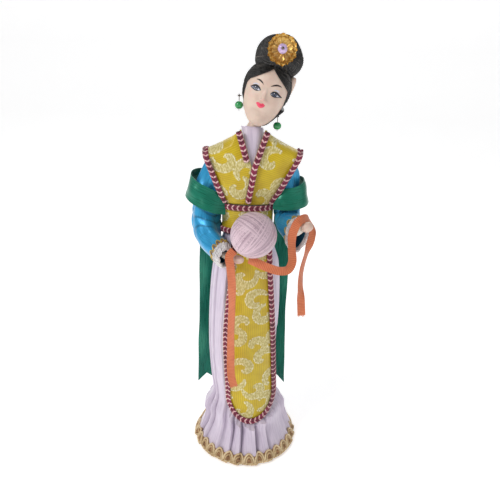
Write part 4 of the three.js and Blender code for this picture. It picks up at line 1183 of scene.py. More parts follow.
def sleeve_ring(arm, t, angle, grow):
    """Half widths of the sleeve at t, 0 at the shoulder, with long soft folds and creases at the elbow."""
    deep = lerp(6.6, 8, smooth(t, 0.05, 0.62))
    top, middle, elbow_width = arm["widths"]
    wide = lerp(lerp(top, middle, smooth(t, 0, 0.3)), elbow_width, smooth(t, 0.3, 0.6))
    flare = smooth(t, 0.62, 1)
    shift = arm["folds"]
    soft = 0.55 * np.sin(3 * angle + 7 * t + shift) + 0.35 * np.sin(5 * angle - 9 * t + 2 * shift)
    elbow = np.exp(-((t - 0.6) / 0.16) ** 2) * (0.5 + 0.5 * np.cos(angle + 0.4))
    crease = 1.9 * np.abs(np.sin(t * 30 + 1.6 * np.sin(angle * 2 + shift))) ** 0.5 - 1.2
    hang = 0.7 * np.sin(t * 17 + 2 * angle + shift) * np.exp(-((t - 0.33) / 0.16) ** 2)
    relief = (1.25 * soft + hang) * smooth(t, 0.04, 0.2) * (1 - 0.7 * smooth(t, 0.88, 1)) + crease * elbow
    return [lerp(own, half, flare) + grow + relief for own, half in zip((deep, wide), arm["cuff"])]


def sleeve_grid(arm, grow, rows=120, columns=96):
    line = smooth_line(arm["line"], rows)
    _, first, second = sleeve_frame(line)
    t, angle = round_grid(0, 1, rows, columns)
    a, b = sleeve_ring(arm, t, angle, grow)
    ring = first[:, None] * (a * np.cos(angle))[..., None] + second[:, None] * (b * np.sin(angle))[..., None]
    return line[:, None] + ring


def cuff_place(arm):
    """A function giving places on the cuff: turns round it, how far beyond the sleeve's end, out from it."""
    line = smooth_line(arm["line"], 120)
    along, first, second = sleeve_frame(line)
    end, ahead, a_axis, b_axis = line[-1], along[-1], first[-1], second[-1]

    def place(turns, beyond, out):
        angle = np.asarray(turns) * TURN
        beyond = np.asarray(beyond, float) + 0 * angle
        a, b = sleeve_ring(arm, np.full(np.shape(angle), 1.0), angle, 0.0)
        ring = a_axis * ((a + out) * np.cos(angle))[..., None]
        ring = ring + b_axis * ((b + out) * np.sin(angle))[..., None]
        return end + ring + ahead * beyond[..., None]

    return place


def add_cuff(side_name, arm):
    place = cuff_place(arm)

    def lace(turns, beyond, out):
        turns, beyond = np.asarray(turns, float), np.asarray(beyond, float)
        ruffle = 0.5 * np.sin(turns * TURN * 9) * smooth(beyond, 0, arm["lace"])
        return place(turns, beyond, out + ruffle + arm["flare"] * np.maximum(beyond, 0))

    shape = Shape()
    turns, beyond = np.meshgrid(np.linspace(0, 1, 144, endpoint=False), np.linspace(0.2, arm["lace"], 6))
    shape.add(*shell(lace(turns, beyond, -0.05), lace(turns, beyond, -0.45), True), 0)
    arc = np.linspace(0, np.pi, 11)
    scallops = 12
    for k in range(scallops):
        for half, height, thick, look in ((0.4, 3.6, 0.42, 1), (0.22, 2.1, 0.34, 2)):
            turn = (k + 0.5 - np.cos(arc) * half) / scallops
            shape.add(*tube(lace(turn, 1.2 - np.sin(arc) * height, 0.45), thick, 6), look)
    steps = np.arange(320) / 320
    for shift, middle, swing in ((0, 0.4, 0.23), (0.5, 0.46, 0.23), (0.25, 0.84, 0.21), (0.75, 0.88, 0.21)):
        wave = np.sin((steps * 17 + shift) * TURN)
        depth = 0.5 + 0.45 * np.cos((steps * 17 + shift) * TURN)
        shape.add(*tube(lace(steps, (middle + swing * wave) * arm["lace"], depth), 0.42, 6, True), 0)
    name = "cuff_lace_" + side_name
    return piece(name + "_loops", shape, [LACE_WHITE, LACE_GOLD, BROWN_THREAD], "figure", [name])


def add_arm(side_name, arm):
    line = smooth_line(arm["line"] + [list(arm["wrist"])], 90)
    _, first, second = sleeve_frame(line)
    t, angle = round_grid(0, 1, 90, 24)
    wound = 0.18 * np.abs(np.sin(t * 60 + angle * 0.5))
    radius = lerp(3.0, 1.9, smooth(t, 0.78, 0.9)) + wound
    ring = first[:, None] * (radius * np.cos(angle))[..., None]
    ring = ring + second[:, None] * (radius * np.sin(angle))[..., None]
    shape = Shape().add(*loft(line[:, None] + ring))
    made = piece("arm_" + side_name + "_wadding", shape, [WADDING], "figure", ["arm_" + side_name])
    return made


def add_hand(side_name, arm):
    """A small painted mitt: a rounded palm with shallow grooves for the fingers and a thumb."""
    centre, wrist = np.array(arm["hand"]), np.array(arm["wrist"])
    ahead = unit(centre - wrist)
    wide = unit(np.cross(ahead, np.array([0, 0, 1.0])))
    top = np.cross(wide, ahead)
    rows, columns = 40, 48
    t, angle = round_grid(0.02, np.pi - 0.02, rows, columns)
    length, width, depth = arm["size"]
    grooves = (0.5 + 0.5 * np.cos(angle * 8)) * (np.sin(angle) > -0.2)
    fingers = 1 - 0.07 * smooth(-np.cos(t), -0.1, 0.7) * grooves
    thumb = 1 + 0.22 * np.exp(-((angle - 0.5) / 0.45) ** 2) * np.exp(-((t - 1.5) / 0.5) ** 2)
    swell = fingers * thumb
    points = centre + ahead * (-length * np.cos(t))[..., None]
    points = points + wide * (width * np.sin(t) ** 0.85 * np.cos(angle) * swell)[..., None]
    points = points + top * (depth * np.sin(t) ** 0.85 * np.sin(angle) * swell)[..., None]
    shape = Shape()
    made_points, faces = loft(points)
    shape.add(made_points, faces, blush=0.15 + 0 * made_points[:, 0])
    return piece("hand_" + side_name + "_mitt", shape, [SKIN], "figure", ["hand_" + side_name], 70)


def add_sleeve(side_name, arm):
    front = sleeve_grid(arm, 0.0)
    back = sleeve_grid(arm, -SLEEVE_WALL)
    turns, along = np.meshgrid(np.linspace(0, 1, front.shape[1]), np.linspace(0, 1, front.shape[0]))
    # Painted shade: the satin darkens along crease lines round the elbow, and the inside face of the sleeve
    # is painted much darker.
    hollow = np.sin(along * 30 + 1.6 * np.sin(turns * 2 * TURN + arm["folds"]))
    away = smooth(np.abs(along - 0.6), 0.12, 0.3)
    outside = (0.45 + 0.55 * smooth(np.abs(hollow) + away, 0.1, 0.6)).ravel()
    fold = np.concatenate([outside, 0.25 * outside])
    shape = Shape().add(*shell(front, back, True), cloth=cloth_map(front), fold=fold)
    name = "sleeve_" + side_name
    return piece(name + "_satin", shape, [BLUE_SATIN], "figure", [name], 70)


# ---- The silk ball ----

BANDS = [  # each fan of windings: the pole they all cross at, where the fan starts and how far it spreads
    [(0.3, 0.8, 0.5), 0.0, math.pi], [(-0.8, -0.3, 0.5), 0.0, math.pi], [(0.5, -0.35, 0.8), 0.0, math.pi],
    [(0.75, -0.5, -0.45), 0.2, 1.5], [(-0.45, -0.55, -0.7), 0.5, 1.3],
]
SILK_WIDTH = 0.8


def add_ball():
    shape = Shape()
    chance = np.random.default_rng(11)
    rows, columns = 30, 48
    t, angle = round_grid(0.03, np.pi - 0.03, rows, columns)
    core = np.stack([np.sin(t) * np.cos(angle), np.sin(t) * np.sin(angle), np.cos(t)], -1)
    points, faces = loft(BALL_CENTRE + core * (BALL_RADIUS - 0.58))
    shape.add(points, faces, tone=np.full(len(points), 0.3))
    turn = np.arange(72) * TURN / 72
    for level, (pole, start, spread_angle) in enumerate(BANDS):
        pole = unit(np.array(pole))
        first = unit(np.cross(pole, [0.3, 0.5, 0.8]))
        second = np.cross(pole, first)
        windings = int(1.2 * spread_angle * BALL_RADIUS / SILK_WIDTH)
        for fan in np.linspace(start, start + spread_angle, windings):
            axis = unit(first * math.cos(fan) + second * math.sin(fan) + chance.normal(size=3) * 0.03)
            side = unit(np.cross(axis, pole + [0.01, 0.02, 0.03]))
            ahead = np.cross(axis, side)
            radius = BALL_RADIUS - 0.6 + 0.08 * level + chance.uniform(-0.03, 0.03)
            outward = side * np.cos(turn)[:, None] + ahead * np.sin(turn)[:, None]
            across = np.tile(axis, (len(turn), 1))
            corner = [(-1, 0), (-0.55, 0.8), (0.55, 0.8), (1, 0), (0, -0.7)]
            centre = BALL_CENTRE + outward * radius
            ring = [centre + across * a * SILK_WIDTH / 2 + outward * b * 0.2 for a, b in corner]
            points, faces = loft(np.stack(ring, 1), True)
            shape.add(points, faces, tone=np.full(len(points), chance.uniform(0, 1) ** 0.7))
    made = piece("silk_ball", shape, [PINK_SILK], "figure", ["ball_winding"], 80)
    return made


# ---- The green satin shawl ----

SHAWL_WIDTH = 15.0
SHAWL_THICK = 0.45
WRAP_LINE = [
    [-17.5, -8.0, 191.5], [-24, -11.2, 193.5], [-32, -11.6, 197], [-40, -7.8, 200.5], [-43.6, -0.5, 203.5],
    [-41.5, 6.8, 206.5], [-35, 11.8, 207], [-27, 13.6, 205], [-20, 14.8, 203], [-10, 16.6, 201.6],
    [-1.5, 17.2, 201], [8, 16.6, 200.6], [17, 14.8, 201], [24, 13.8, 202], [31, 12.2, 203.4], [36, 7.2, 204],
    [37.6, 0, 202.6], [34.8, -7.4, 199.6], [28, -11, 197.8], [21, -10.8, 197], [15.4, -8, 196.4],
]
WRAP_HOMES = {"right": [-30, 0.5, 200], "left": [25, 0.5, 200]}
TAILS = {
    "right": {"line": [[-30.4, 11.6, 198], [-30.6, 12.2, 182], [-31, 13.4, 150],
                       [-31.4, 14, 110], [-32.6, 15.6, 70],
                       [-33.4, 17, 36]], "facing": [0.4, -1, 0]},
    "left": {"line": [[24.8, 11.8, 195], [24.2, 12.6, 180], [23, 14.6, 150],
                      [22.6, 15.6, 110], [23.6, 16.6, 70],
                      [25.2, 18.4, 36]], "facing": [-0.4, -1, 0]},
}


def add_shawl_wrap():
    count = 300
    line = smooth_line(WRAP_LINE, count)
    weight = np.maximum(smooth(np.abs(line[:, 0]), 14, 26), 1 - smooth(line[:, 1], 6, 11))[:, None]
    home = np.where(line[:, :1] < 0, WRAP_HOMES["right"], WRAP_HOMES["left"])
    facing = (unit((line - home) * [1, 1, 0]) + [0, 0, 0.3]) * weight + np.array([0, 1.0, 0]) * (1 - weight)
    _, out, across = frames(line, facing)
    place = np.linspace(-1, 1, 25)[None, :]
    s = np.linspace(0, 1, count)[:, None]
    fold = 0.5 * np.cos(place * 1.5) + 0.3 * np.sin(place * 2.2 + s * 46) + 0.22 * np.sin(place * 4 - s * 31)
    cup = 1 - 0.1 * smooth(np.abs(s - 0.5), 0.42, 0.5)
    sideways = across[:, None] * (place * cup * SHAWL_WIDTH / 2)[..., None]
    grid = line[:, None] + sideways + out[:, None] * fold[..., None]
    half = out[:, None] * SHAWL_THICK / 2
    outside = np.ones(grid.shape[:2]).ravel()
    # Painted shade: the inside face of the wrap is drawn part way to the dark green.
    inner_face_shade = np.concatenate([outside, 0.55 * outside])
    shape = Shape().add(*shell(grid + half, grid - half), cloth=cloth_map(grid), fold=inner_face_shade)
    nodes = ["shawl_loop_right", "shawl_back", "shawl_loop_left"]
    return piece("shawl_wrap", shape, [GREEN_SATIN], "figure", nodes)


def add_shawl_tail(side_name):
    tail = TAILS[side_name]
    count = 150
    line = smooth_line(tail["line"], count)
    facing = np.tile(np.array(tail["facing"], float), (count, 1))
    front, back = ribbon_sheet(line, facing, SHAWL_WIDTH, SHAWL_THICK, 21, 0.6, (0, 0), 6.0)
    shape = Shape().add(*shell(front, back), cloth=cloth_map(front), fold=np.ones(2 * front[..., 0].size))
    name = "shawl_tail_" + side_name
    made = piece(name + "_satin", shape, [GREEN_SATIN], None, [name])
    top = np.array(tail["line"][0])
    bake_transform(made)
    return made


# ---- Head ----


def face_relief(x, t):
    """How far the painted face stands forward of the smooth head, in millimetres."""

    def bump(cx, ct, wx, wt):
        return np.exp(-(((x - cx) / wx) ** 2) - ((t - ct) / wt) ** 2)

    ridge = np.exp(-(((x + 0.1) / lerp(1.0, 1.5, smooth(-t, -3, 4))) ** 2))
    nose = ridge * smooth(t, -5.2, -3.9) * (1 - smooth(t, -3.6, 4.5)) * 1.9
    wings = 0.5 * (bump(-1.5, -4.1, 0.9, 0.7) + bump(1.3, -4.1, 0.9, 0.7))
    sockets = -0.45 * (bump(-6.9, 1.8, 2.8, 1.9) + bump(5.9, 1.6, 2.8, 1.9))
    cheeks = 0.4 * (bump(-6.6, -4.4, 3.4, 3.2) + bump(6.2, -4.4, 3.4, 3.2))
    lips = 0.6 * bump(-0.9, -6.9, 2.4, 0.7) + 0.7 * bump(-0.8, -8.0, 2.0, 0.8)
    lips = lips - 0.35 * bump(-0.9, -7.3, 2.6, 0.25)
    chin = 0.6 * bump(-0.5, -14.6, 3.6, 2.6) - 0.3 * bump(-0.7, -10.4, 2.6, 1.0)
    return nose + wings + sockets + cheeks + lips + chin


def face_place(x, t, lift):
    """A place on the face, lift in front of it."""
    x, t = np.asarray(x, float), np.asarray(t, float)
    centre, width, depth = read_sections(HEAD_SECTIONS, t)
    side = np.clip(x / width, -0.995, 0.995)
    cosine = np.sqrt(1 - side * side)
    return to_world(x, centre - depth * cosine - face_relief(x, t) * smooth(cosine, 0, 0.35) - lift, t)


def add_head():
    rows, columns = 150, 180
    t, angle = round_grid(-20, 19.5, rows, columns)
    centre, width, depth = read_sections(HEAD_SECTIONS, t)
    x = np.sin(angle) * width
    front = smooth(np.cos(angle), 0, 0.35)
    points = to_world(x, centre - np.cos(angle) * depth - face_relief(x, t) * front, t)
    cheek = np.exp(-(((np.abs(x + 0.4) - 7.4) / 3.0) ** 2) - ((t + 3.6) / 2.8) ** 2) * front
    blush = 0.2 * cheek + 0.35 * np.exp(-(((x - 1.6) / 2.2) ** 2) - ((t + 4.4) / 1.2) ** 2) * front
    shape = Shape().add(*loft(points), blush=blush.ravel())
    return piece("face", shape, [SKIN], "head", ["head_form"], 75)


def face_patch(shape, low, high, lift=0.1, look=0, rows=5):
    """A thin painted patch between two lines of places on the face, with its edges sunk into the skin."""
    low, high = np.array(low, float), np.array(high, float)
    share = np.linspace(0, 1, rows)[:, None, None]
    places = low[None] * (1 - share) + high[None] * share
    front = face_place(places[..., 0], places[..., 1], lift)
    back = face_place(places[..., 0], places[..., 1], lift - 0.22)
    shape.add(*shell(front, back), look)


def flat_line(points, count=22):
    """A smooth line through places on the face."""
    return smooth_line([[x, t, 0] for x, t in points], count)[:, :2]


def stroke(shape, points, widths, lift=0.1, look=0):
    """A brush stroke along places on the face, with its half width at each step from first to last."""
    line = flat_line(points, 24)
    ahead = unit(np.gradient(line, axis=0))
    across = np.stack([-ahead[:, 1], ahead[:, 0]], 1)
    half = np.interp(np.linspace(0, 1, 24), np.linspace(0, 1, len(widths)), widths)[:, None]
    face_patch(shape, line - across * half, line + across * half, lift, look)


def disc(shape, centre, radius, lift, look=0):
    """A painted round spot on the face."""
    turn = np.linspace(0, np.pi, 17)
    low = [[centre[0] - radius * math.cos(a), centre[1] - radius * math.sin(a)] for a in turn]
    high = [[centre[0] - radius * math.cos(a), centre[1] + radius * math.sin(a)] for a in turn]
    face_patch(shape, low, high, lift, look, 7)


EYES = {
    "right": {
        "upper": [(-10.4, 1.3), (-9.2, 2.1), (-7.4, 2.8), (-5.4, 2.4), (-3.6, 1.1)],
        "lower": [(-10.1, 1.2), (-8.3, 0.5), (-6.4, 0.05), (-4.8, 0.35), (-3.6, 1.0)],
        "iris": (-7.0, 1.45), "brow": [(-8.2, 6.5), (-6.2, 6.5), (-4.4, 5.8), (-2.9, 4.7)],
        "brow_widths": [0.08, 0.5, 0.44, 0.1], "lid": [(-9.6, 3.1), (-7.4, 4.0), (-5.2, 3.6)],
        "glint": (-7.3, 1.95), "corner": [(-5.4, 0.75), (-4.2, 0.75)],
    },
    "left": {
        "upper": [(2.9, 0.9), (4.3, 2.3), (6.3, 2.6), (8.5, 1.8), (10.6, 1.1)],
        "lower": [(2.9, 0.85), (4.2, 0.1), (5.9, -0.1), (7.6, 0.4), (9.9, 1.0)],
        "iris": (5.5, 1.3), "brow": [(1.7, 5.0), (3.4, 6.1), (5.2, 6.9), (6.9, 7.1), (8.4, 6.8)],
        "brow_widths": [0.12, 0.42, 0.52, 0.4, 0.08], "lid": [(4.0, 3.6), (6.2, 3.9), (8.6, 3.1)],
        "glint": (5.2, 1.85), "corner": [(7.0, 0.85), (8.2, 0.95)],
    },
}


def add_eye(side_name, eye):
    """White of the eye, iris, glint, corner light, lash line and its wing, lid shade and brow."""
    shape = Shape()
    upper, lower = flat_line(eye["upper"]), flat_line(eye["lower"])
    face_patch(shape, lower, upper, 0.08, 5)
    disc(shape, eye["iris"], 1.5, 0.13, 1)
    disc(shape, eye["iris"], 1.12, 0.17, 2)
    disc(shape, eye["iris"], 0.62, 0.21, 1)
    disc(shape, eye["glint"], 0.24, 0.25, 3)
    stroke(shape, eye["upper"], [0.14, 0.5, 0.62, 0.5, 0.2], 0.2, 1)
    stroke(shape, eye["lower"], [0.1, 0.26, 0.28, 0.2, 0.1], 0.18, 1)
    stroke(shape, eye["corner"], [0.1, 0.26, 0.12], 0.19, 3)
    stroke(shape, eye["lid"], [0.08, 0.4, 0.08], 0.06, 4)
    stroke(shape, eye["brow"], eye["brow_widths"], 0.1, 0)
    looks = [BROW_PAINT, LASH_PAINT, IRIS_PAINT, WHITE_PAINT, LID_PAINT, EYE_PAINT]
    return piece("eye_" + side_name, shape, looks, "head")


def add_lips():
    shape = Shape()
    seam = [(-3.9, -6.75), (-2.6, -7.2), (-0.9, -7.35), (0.8, -7.2), (2.1, -6.9)]
    upper = [(-3.9, -6.7), (-2.7, -6.1), (-1.0, -6.45), (0.5, -5.95), (2.1, -6.85)]
    lower = [(-3.9, -6.8), (-2.8, -8.1), (-0.8, -9.1), (1.2, -8.2), (2.1, -6.95)]
    face_patch(shape, flat_line(seam), flat_line(upper), 0.14, 0)
    face_patch(shape, flat_line(lower), flat_line(seam), 0.16, 0)
    return piece("lips", shape, [LIP_PAINT], "head")


def add_neck():
    t, angle = round_grid(-22.6, -9, 20, 48)
    radius = 4.4 + 0.5 * smooth(-t, 19, 22.6) + 0.4 * smooth(t, -14, -9)
    points = to_world(radius * np.sin(angle), -radius * np.cos(angle), t)
    shape = Shape().add(*loft(points), blush=0 * angle.ravel())
    return piece("neck_skin", shape, [SKIN], "head", ["neck"])


BARE_SIDE_CENTRE = (13.7, 2.2, 9.2)  # left, back and up, in the head's own frame
BARE_SIDE_SIZE = (2.9, 4.3, 6.9)


def add_bare_side():
    """The bare, slightly swollen side of the head that shows behind the left wing of hair."""
    rows, columns = 40, 44
    t, angle = round_grid(0.03, np.pi - 0.03, rows, columns)
    centre_x, centre_y, centre_t = BARE_SIDE_CENTRE
    thick, deep, tall = BARE_SIDE_SIZE
    height = centre_t + tall * np.cos(t)
    size = np.sin(t) ** 0.55
    hollow = 0.5 * np.exp(-((angle - 0.1) / 0.5) ** 2 - ((t - 1.6) / 0.6) ** 2)
    x = centre_x + (thick * np.cos(angle) - hollow) * size + 0.1 * (height - centre_t)
    y = centre_y + deep * np.sin(angle) * size
    points, faces = loft(to_world(x, y, height))
    shape = Shape().add(points, faces, blush=0.1 + 0 * points[:, 0])
    return piece("bare_side_left", shape, [SKIN], "head")


# ---- Hair ----

HAIRLINE = {  # angle round the head from the parting, and the hair's lower edge there
    "left": [[0, 15.5], [0.33, 12], [0.6, 9.4], [0.887, 7.4], [1.18, 5.6], [1.32, 2], [1.45, -4]],
    "right": [
        [0, 15.5], [0.18, 13], [0.53, 9.4], [0.75, 7.3], [1.0, 5.8], [1.22, 3.0], [1.34, -2], [1.5, -13],
    ],
}
HAIR_TOP = 19.0
STRAND_RIDGE = 0.24


def ridges(place, count, wander):
    """Uneven strands: ridges across a place from 0 to 1, drifting with wander."""
    wave = np.sin(place * count * TURN + 2.2 * np.sin(wander * 3.1))
    fine = np.sin(place * count * 2.3 * TURN + 3.0 * np.sin(wander * 2.3 + 1))
    return STRAND_RIDGE * (wave + 0.6 * fine)


def add_wing(side_name, side):
    table = np.array(HAIRLINE[side_name])
    rows, columns = 70, 90
    v, angle = np.meshgrid(np.linspace(0, 1, rows), np.linspace(0, table[-1, 0], columns), indexing="ij")
    low = np.interp(angle, table[:, 0], table[:, 1])
    t = lerp(low, HAIR_TOP, v)
    puff = 0.35 + 1.15 * np.sqrt(np.clip(np.sin(np.pi * np.clip(v * 0.9 + 0.03, 0, 1)), 0, 1))
    thin = lerp(0.12, 1, smooth(t, -7.5, -1))
    out = (puff + ridges(v, 9, angle) * smooth(v, 0, 0.12)) * thin
    front = head_point(side * angle, t, out)
    back = head_point(side * angle, t, 0.1)
    flat = cloth_map(front)[:, [1, 0, 2]]
    shape = Shape().add(*shell(front, back), cloth=flat)
    name = "hair_wing_" + side_name
    return piece(name + "_strands", shape, [HAIR], "head", [name], 75)


def cap_edges(t):
    """The angles where the hair at the back begins on the left side and ends on the right."""
    left = np.interp(t, [-20, -6, -3, 12, 15], [1.36, 1.36, 1.95, 1.95, 1.0])
    right = np.interp(t, [-20, -9, -4, 0, 12, 15], [2.3, 2.1, 1.6, 1.48, 1.4, 0.8])
    return left, right


def add_cap():
    rows, columns = 90, 160
    t, u = np.meshgrid(np.linspace(-19, 19.4, rows), np.linspace(0, 1, columns), indexing="ij")
    left, right = cap_edges(t)
    angle = lerp(left, TURN - right, u)
    jaw = smooth(-t, 2, 7) * smooth(t, -14, -9) * (1 - smooth(u, 0.02, 0.2))
    thin = lerp(0.25, 1, np.maximum(smooth(t, -12, -5), smooth(np.sin(np.pi * u), 0.6, 0.95)))
    out = (0.9 + 1.1 * jaw + 0.5 * np.sin(np.pi * u) + ridges(u, 34, t * 0.12)) * thin
    taper = smooth(u, 0, 0.02) * (1 - smooth(u, 0.98, 1))
    front = head_point(angle, t, 0.3 + out * (0.4 + 0.6 * taper))
    back = head_point(angle, t, 0.1)
    shape = Shape().add(*shell(front, back), cloth=cloth_map(front))
    return piece("hair_cap_strands", shape, [HAIR], "head", ["hair_cap"], 75)


BUN_CENTRE = np.array([14.8, 0.6, 287.4])
BUN_SIZE = (15.2, 13.0, 12.8)


def add_bun():
    """The topknot: hair wound round in a flat coil, its strands spiralling to the middle of the front."""
    rows, columns = 110, 150
    t, angle = round_grid(0.02, np.pi - 0.02, rows, columns)
    swirl = angle / TURN + 0.35 * t
    lumps = 0.35 * np.sin(3 * angle + 2.4 * t) + 0.3 * np.sin(5 * angle - 3.2 * t + 1)
    corner = 1.9 * np.exp(-((angle - 5.45) / 0.55) ** 2)
    strands = 0.42 * np.sin(swirl * TURN * 22 + 1.8 * np.sin(t * 5))
    strands = strands + 0.2 * np.sin(swirl * TURN * 41 + 2 * np.cos(t * 7))
    swell = lumps + strands * np.sin(t) + corner
    ring = np.sin(t)
    x = BUN_CENTRE[0] + (BUN_SIZE[0] - 0.4 + swell) * ring * np.cos(angle)
    z = BUN_CENTRE[2] + (BUN_SIZE[2] - 0.4 + swell) * ring * np.sin(angle)
    y = BUN_CENTRE[1] - (BUN_SIZE[1] - 0.4 + swell) * np.cos(t)
    points = np.stack([x, y, z], -1)
    shape = Shape()
    made_points, faces = loft(points)
    flat = np.stack([angle * 12, t * 14, 0 * t], -1).reshape(-1, 3)
    shape.add(made_points, faces, cloth=flat)
    return piece("hair_bun_coil", shape, [HAIR], "head", ["hair_bun"], 75)


# ---- Hair ornament and earrings ----


def add_petals(name, node, count, inner, outer, layer_y, curl, shift):
    """A ring of pressed foil petals, each creased down its middle and curled forward at its tip."""
    shape = Shape()
    chance = np.random.default_rng(count)
    for k in range(count):
        turn = (k + shift) * TURN / count + chance.uniform(-0.05, 0.05)
        size = outer * chance.uniform(0.94, 1.03)
        r, s = np.meshgrid(np.sin(np.linspace(0, np.pi / 2, 14)), np.linspace(-1, 1, 11), indexing="ij")
        radius = lerp(inner, size, r)
        half = radius * math.tan(math.pi / count) * 1.3 * np.sqrt(np.clip(1.01 - r ** 10, 0.1, 1))
        radius = radius - 0.35 * r * s * s
        crease = 0.55 * np.abs(s) ** 0.8 * (0.3 + r) + 0.12 * np.cos(s * 9)
        height = layer_y - curl * r ** 2 - crease + 0.35 * (k % 2) + chance.uniform(-0.15, 0.15)
        side = s * half
        x = ROSETTE[0] + radius * math.cos(turn) - side * math.sin(turn)
        z = ROSETTE[2] + radius * math.sin(turn) + side * math.cos(turn)
        front = np.stack([x, height, z], -1)
        flat = np.stack([side, radius, 0 * side], -1).reshape(-1, 3)
        shape.add(*shell(front, front + [0, 0.18, 0]), cloth=np.concatenate([flat, flat]))
    return piece(name, shape, [FOIL], "head", [node], 50)


def bead_shape(centre, radius, axis, squeeze=0.94):
    """A bead with a pressed hole at each end of its axis."""
    rows, columns = 30, 40
    t, angle = round_grid(0.2, np.pi - 0.2, rows, columns)
    axis = np.array(axis, float)
    side = unit(np.cross(axis, [0.2, 0.3, 1.0]))
    other = np.cross(axis, side)
    reach = radius * np.sin(t) * (1 + 0.02 * np.sin(angle * 5))
    rim = 0.12 * radius * (smooth(np.abs(np.cos(t)), 0.9, 0.98))
    along = radius * squeeze * np.cos(t) - np.sign(np.cos(t)) * rim
    outside = centre + side * (reach * np.cos(angle))[..., None] + other * (reach * np.sin(angle))[..., None]
    outside = outside + axis * along[..., None]
    return outside


def add_bead(name, node, centre, radius, axis, look, body):
    shape = Shape()
    rings = bead_shape(np.array(centre, float), radius, axis)
    shape.add(*loft(rings))
    return piece(name, shape, [look], body, [node], 60)


def add_ornament():
    add_petals("rosette_back_petals", "rosette_back", 16, 1.6, 9.3, -12.6, 1.3, 0.0)
    add_petals("rosette_front_petals", "rosette_front", 14, 1.4, 6.9, -13.9, 1.3, 0.5)
    centre = ROSETTE + [0, -6.6, 0]
    add_bead("ornament_bead_glass", "ornament_bead", centre, 2.9, (0, 1, 0), LILAC, "head")
    line = [ROSETTE + [0, y, 0] for y in (5, 0, -6, -9.2)]
    shape = Shape().add(*tube(smooth_line(line, 8), 0.3, 10))
    head = [ROSETTE + [0, y, 0] for y in (-9.1, -9.3, -9.7, -10.0)]
    shape.add(*tube(head, [0.62, 0.86, 0.74, 0.3], 14))
    piece("ornament_pin_wire", shape, [WIRE], "head", ["ornament_pin"])


EARRINGS = {"right": {"side": -1, "pin": (-10.6, -0.6, 263)}, "left": {"side": 1, "pin": (16.2, -1.6, 250.6)}}
BEAD_RADIUS = 2.8


def add_earring(side_name, earring):
    x, y, z = earring["pin"]
    side = earring["side"]
    body = "earring_" + side_name
    pin_line = [[x - side * d, y, z] for d in (2.2, 1.2, 0.2, -0.2, -0.4)]
    pin = Shape().add(*tube(pin_line, [0.3, 0.34, 0.34, 0.5, 0.3], 12))
    piece("earring_pin_" + side_name + "_head", pin, [WIRE], "head", ["earring_pin_" + side_name])
    hang_x = x - side * 0.6
    turn = np.arange(28) * TURN / 28
    eye = np.stack([hang_x + 0.08 * np.sin(turn), y + 0.95 * np.sin(turn), z + 0.95 * np.cos(turn)], -1)
    shape = Shape().add(*tube(eye, 0.24, 8, True))
    stem = [[hang_x, y + 0.1 * math.sin(k), z - 0.95 - 0.76 * k] for k in range(11)]
    shape.add(*tube(stem, 0.24, 8))
    curl = np.linspace(0, 5.2, 14)
    loop = np.stack([hang_x + 0 * curl, y + 0.45 * (1 - np.cos(curl)), z - 8.7 - 0.45 * np.sin(curl)], -1)
    shape.add(*tube(loop, 0.2, 8))
    piece("earring_wire_" + side_name + "_hook", shape, [WIRE], body, ["earring_wire_" + side_name])
    centre = (hang_x, y, z - 5.9)
    node = "earring_bead_" + side_name
    add_bead(node + "_glass", node, centre, BEAD_RADIUS, (0, 0, 1), GREEN_BEAD, body)


# ---- The parts kept from the CAD ----


def dress_kept_nodes():
    kept = {
        "base_felt": FELT, "base_board": BOARD, "body_post": BOARD,
        "skirt_core": WADDING, "torso_core": WADDING,
        "ball_core": WADDING, "neck_peg": WIRE,
    }
    for name, look in kept.items():
        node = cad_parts[name]
        for slot_place in node.material_slots:
            slot_place.material = look
        if not node.material_slots:
            node.data.materials.append(look)


# ---- Light and floor ----


def add_light(name, place, size, power, tint):
    data = bpy.data.lights.new(name, "AREA")
    data.size = size
    data.energy = power
    data.color = tint
    light = bpy.data.objects.new(name, data)
    bpy.context.scene.collection.objects.link(light)
    light.location = place
    aim = Vector((0, 0, 0.15)) - Vector(place)
    light.rotation_euler = aim.to_track_quat("-Z", "Y").to_euler()


LIGHTS = [  # name, place in metres, size, power, tint
    ("key", (-0.7, -0.55, 0.85), 0.3, 5.0, (1.0, 0.985, 0.96)),
    ("fill", (0.9, -0.9, 0.5), 0.9, 0.9, (0.95, 0.97, 1.0)),
    ("back", (0.2, 0.9, 0.9), 0.8, 1.6, (1.0, 1.0, 1.0)),
]
WORLD_STRENGTH = 0.36
FLOOR_GLOW = 0.46
FLOOR_HALF_WIDTH = 3.0
FLOOR_DROP = 0.0006  # so that the floor and the felt don't share a face
SWEEP = [(-2.5, 0), (0.9, 0), (1.4, 0.05), (1.8, 0.22), (2.1, 0.55), (2.2, 1.0), (2.2, 3.0)]  # back, up


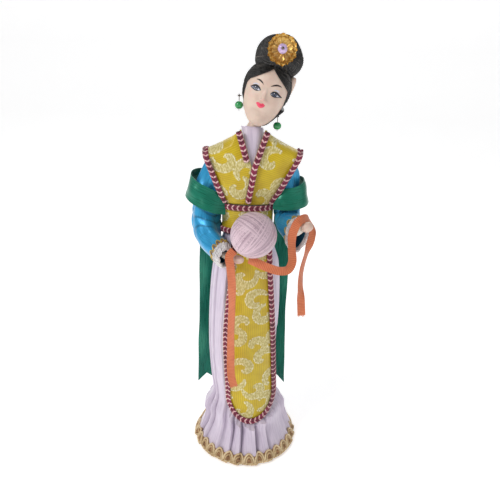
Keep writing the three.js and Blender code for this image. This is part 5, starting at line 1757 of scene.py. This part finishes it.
def add_studio():
    for light in LIGHTS:
        add_light(*light)
    world = bpy.data.worlds.new("studio")
    bpy.context.scene.world = world
    world.use_nodes = True
    background = world.node_tree.nodes["Background"].inputs
    background["Color"].default_value = (1.0, 1.0, 1.0, 1.0)
    background["Strength"].default_value = WORLD_STRENGTH
    look = Look("floor_paper", {
        "Roughness": 0.9, "Emission Color": (1, 1, 1, 1), "Emission Strength": FLOOR_GLOW,
    })
    look.paint(look.mix(look.noise(look.place(), 60.0), colour(252, 252, 253), colour(255, 255, 255)))
    sweep = []
    for y, z in SWEEP:
        sweep.append([[side * FLOOR_HALF_WIDTH, y, z - FLOOR_DROP] for side in (-1, 1)])
    sweep = np.array(sweep)
    mesh = bpy.data.meshes.new("floor")
    faces = [[2 * k, 2 * k + 1, 2 * k + 3, 2 * k + 2] for k in range(len(sweep) - 1)]
    mesh.from_pydata(sweep.reshape(-1, 3).tolist(), [], faces)
    mesh.materials.append(look.material)
    mesh.shade_smooth()
    floor = bpy.data.objects.new("floor", mesh)
    bpy.context.scene.collection.objects.link(floor)
    bpy.context.scene.view_settings.view_transform = "Standard"


# ---- Everything ----


def declare_sheet(made, area=None, with_pieces=()):
    """Takes a sheet and, where it isn't cut square, its area in mm2, but declares nothing with them."""
    area = area and area * MM * MM
    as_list(with_pieces)


APRON_FLAT, APRON_AREA = (40, 148), 5000
VEST_BACK_FLAT, VEST_BACK_AREA = (68, 50), 2250
COLLAR_FLAT, COLLAR_AREA = (14, 29), 260
YOKE_FLAT, YOKE_AREA = (68, 13), 700
VEST_FRONT_FLAT, VEST_FRONT_AREA = (38, 50), 1150


def build_doll():
    skirt = add_skirt()
    gimp = add_gimp()
    apron = add_apron()
    fronts_left, fronts_right, vest_back = add_vest()
    band = add_waistband()
    collar = add_collar()
    neckband = add_neckband()
    yoke = add_yoke()
    braids = add_braids()
    for side_name, arm in ARMS.items():
        sleeve = add_sleeve(side_name, arm)
        cuff = add_cuff(side_name, arm)
        add_arm(side_name, arm)
        add_hand(side_name, arm)
        declare_sheet(sleeve, None, [cuff])
    add_ball()
    wrap = add_shawl_wrap()
    tails = [add_shawl_tail("right"), add_shawl_tail("left")]
    declare_sheet(skirt, None, [gimp])
    declare_sheet(apron, APRON_AREA, [braids["apron"]])
    for front, lapel, armhole in zip((fronts_left, fronts_right), braids["lapels"], braids["armholes"]):
        declare_sheet(front, VEST_FRONT_AREA, [lapel, armhole])
    declare_sheet(vest_back, VEST_BACK_AREA)
    declare_sheet(band, None, braids["waist"])
    declare_sheet(collar, COLLAR_AREA)
    declare_sheet(neckband)
    declare_sheet(yoke, YOKE_AREA)
    declare_sheet(wrap)
    for tail in tails:
        declare_sheet(tail)
    add_head()
    for side_name, eye in EYES.items():
        add_eye(side_name, eye)
    add_lips()
    add_neck()
    add_bare_side()
    add_wing("left", 1)
    add_wing("right", -1)
    add_cap()
    add_bun()
    add_ornament()
    for side_name, earring in EARRINGS.items():
        add_earring(side_name, earring)
    dress_kept_nodes()


build_doll()
add_studio()
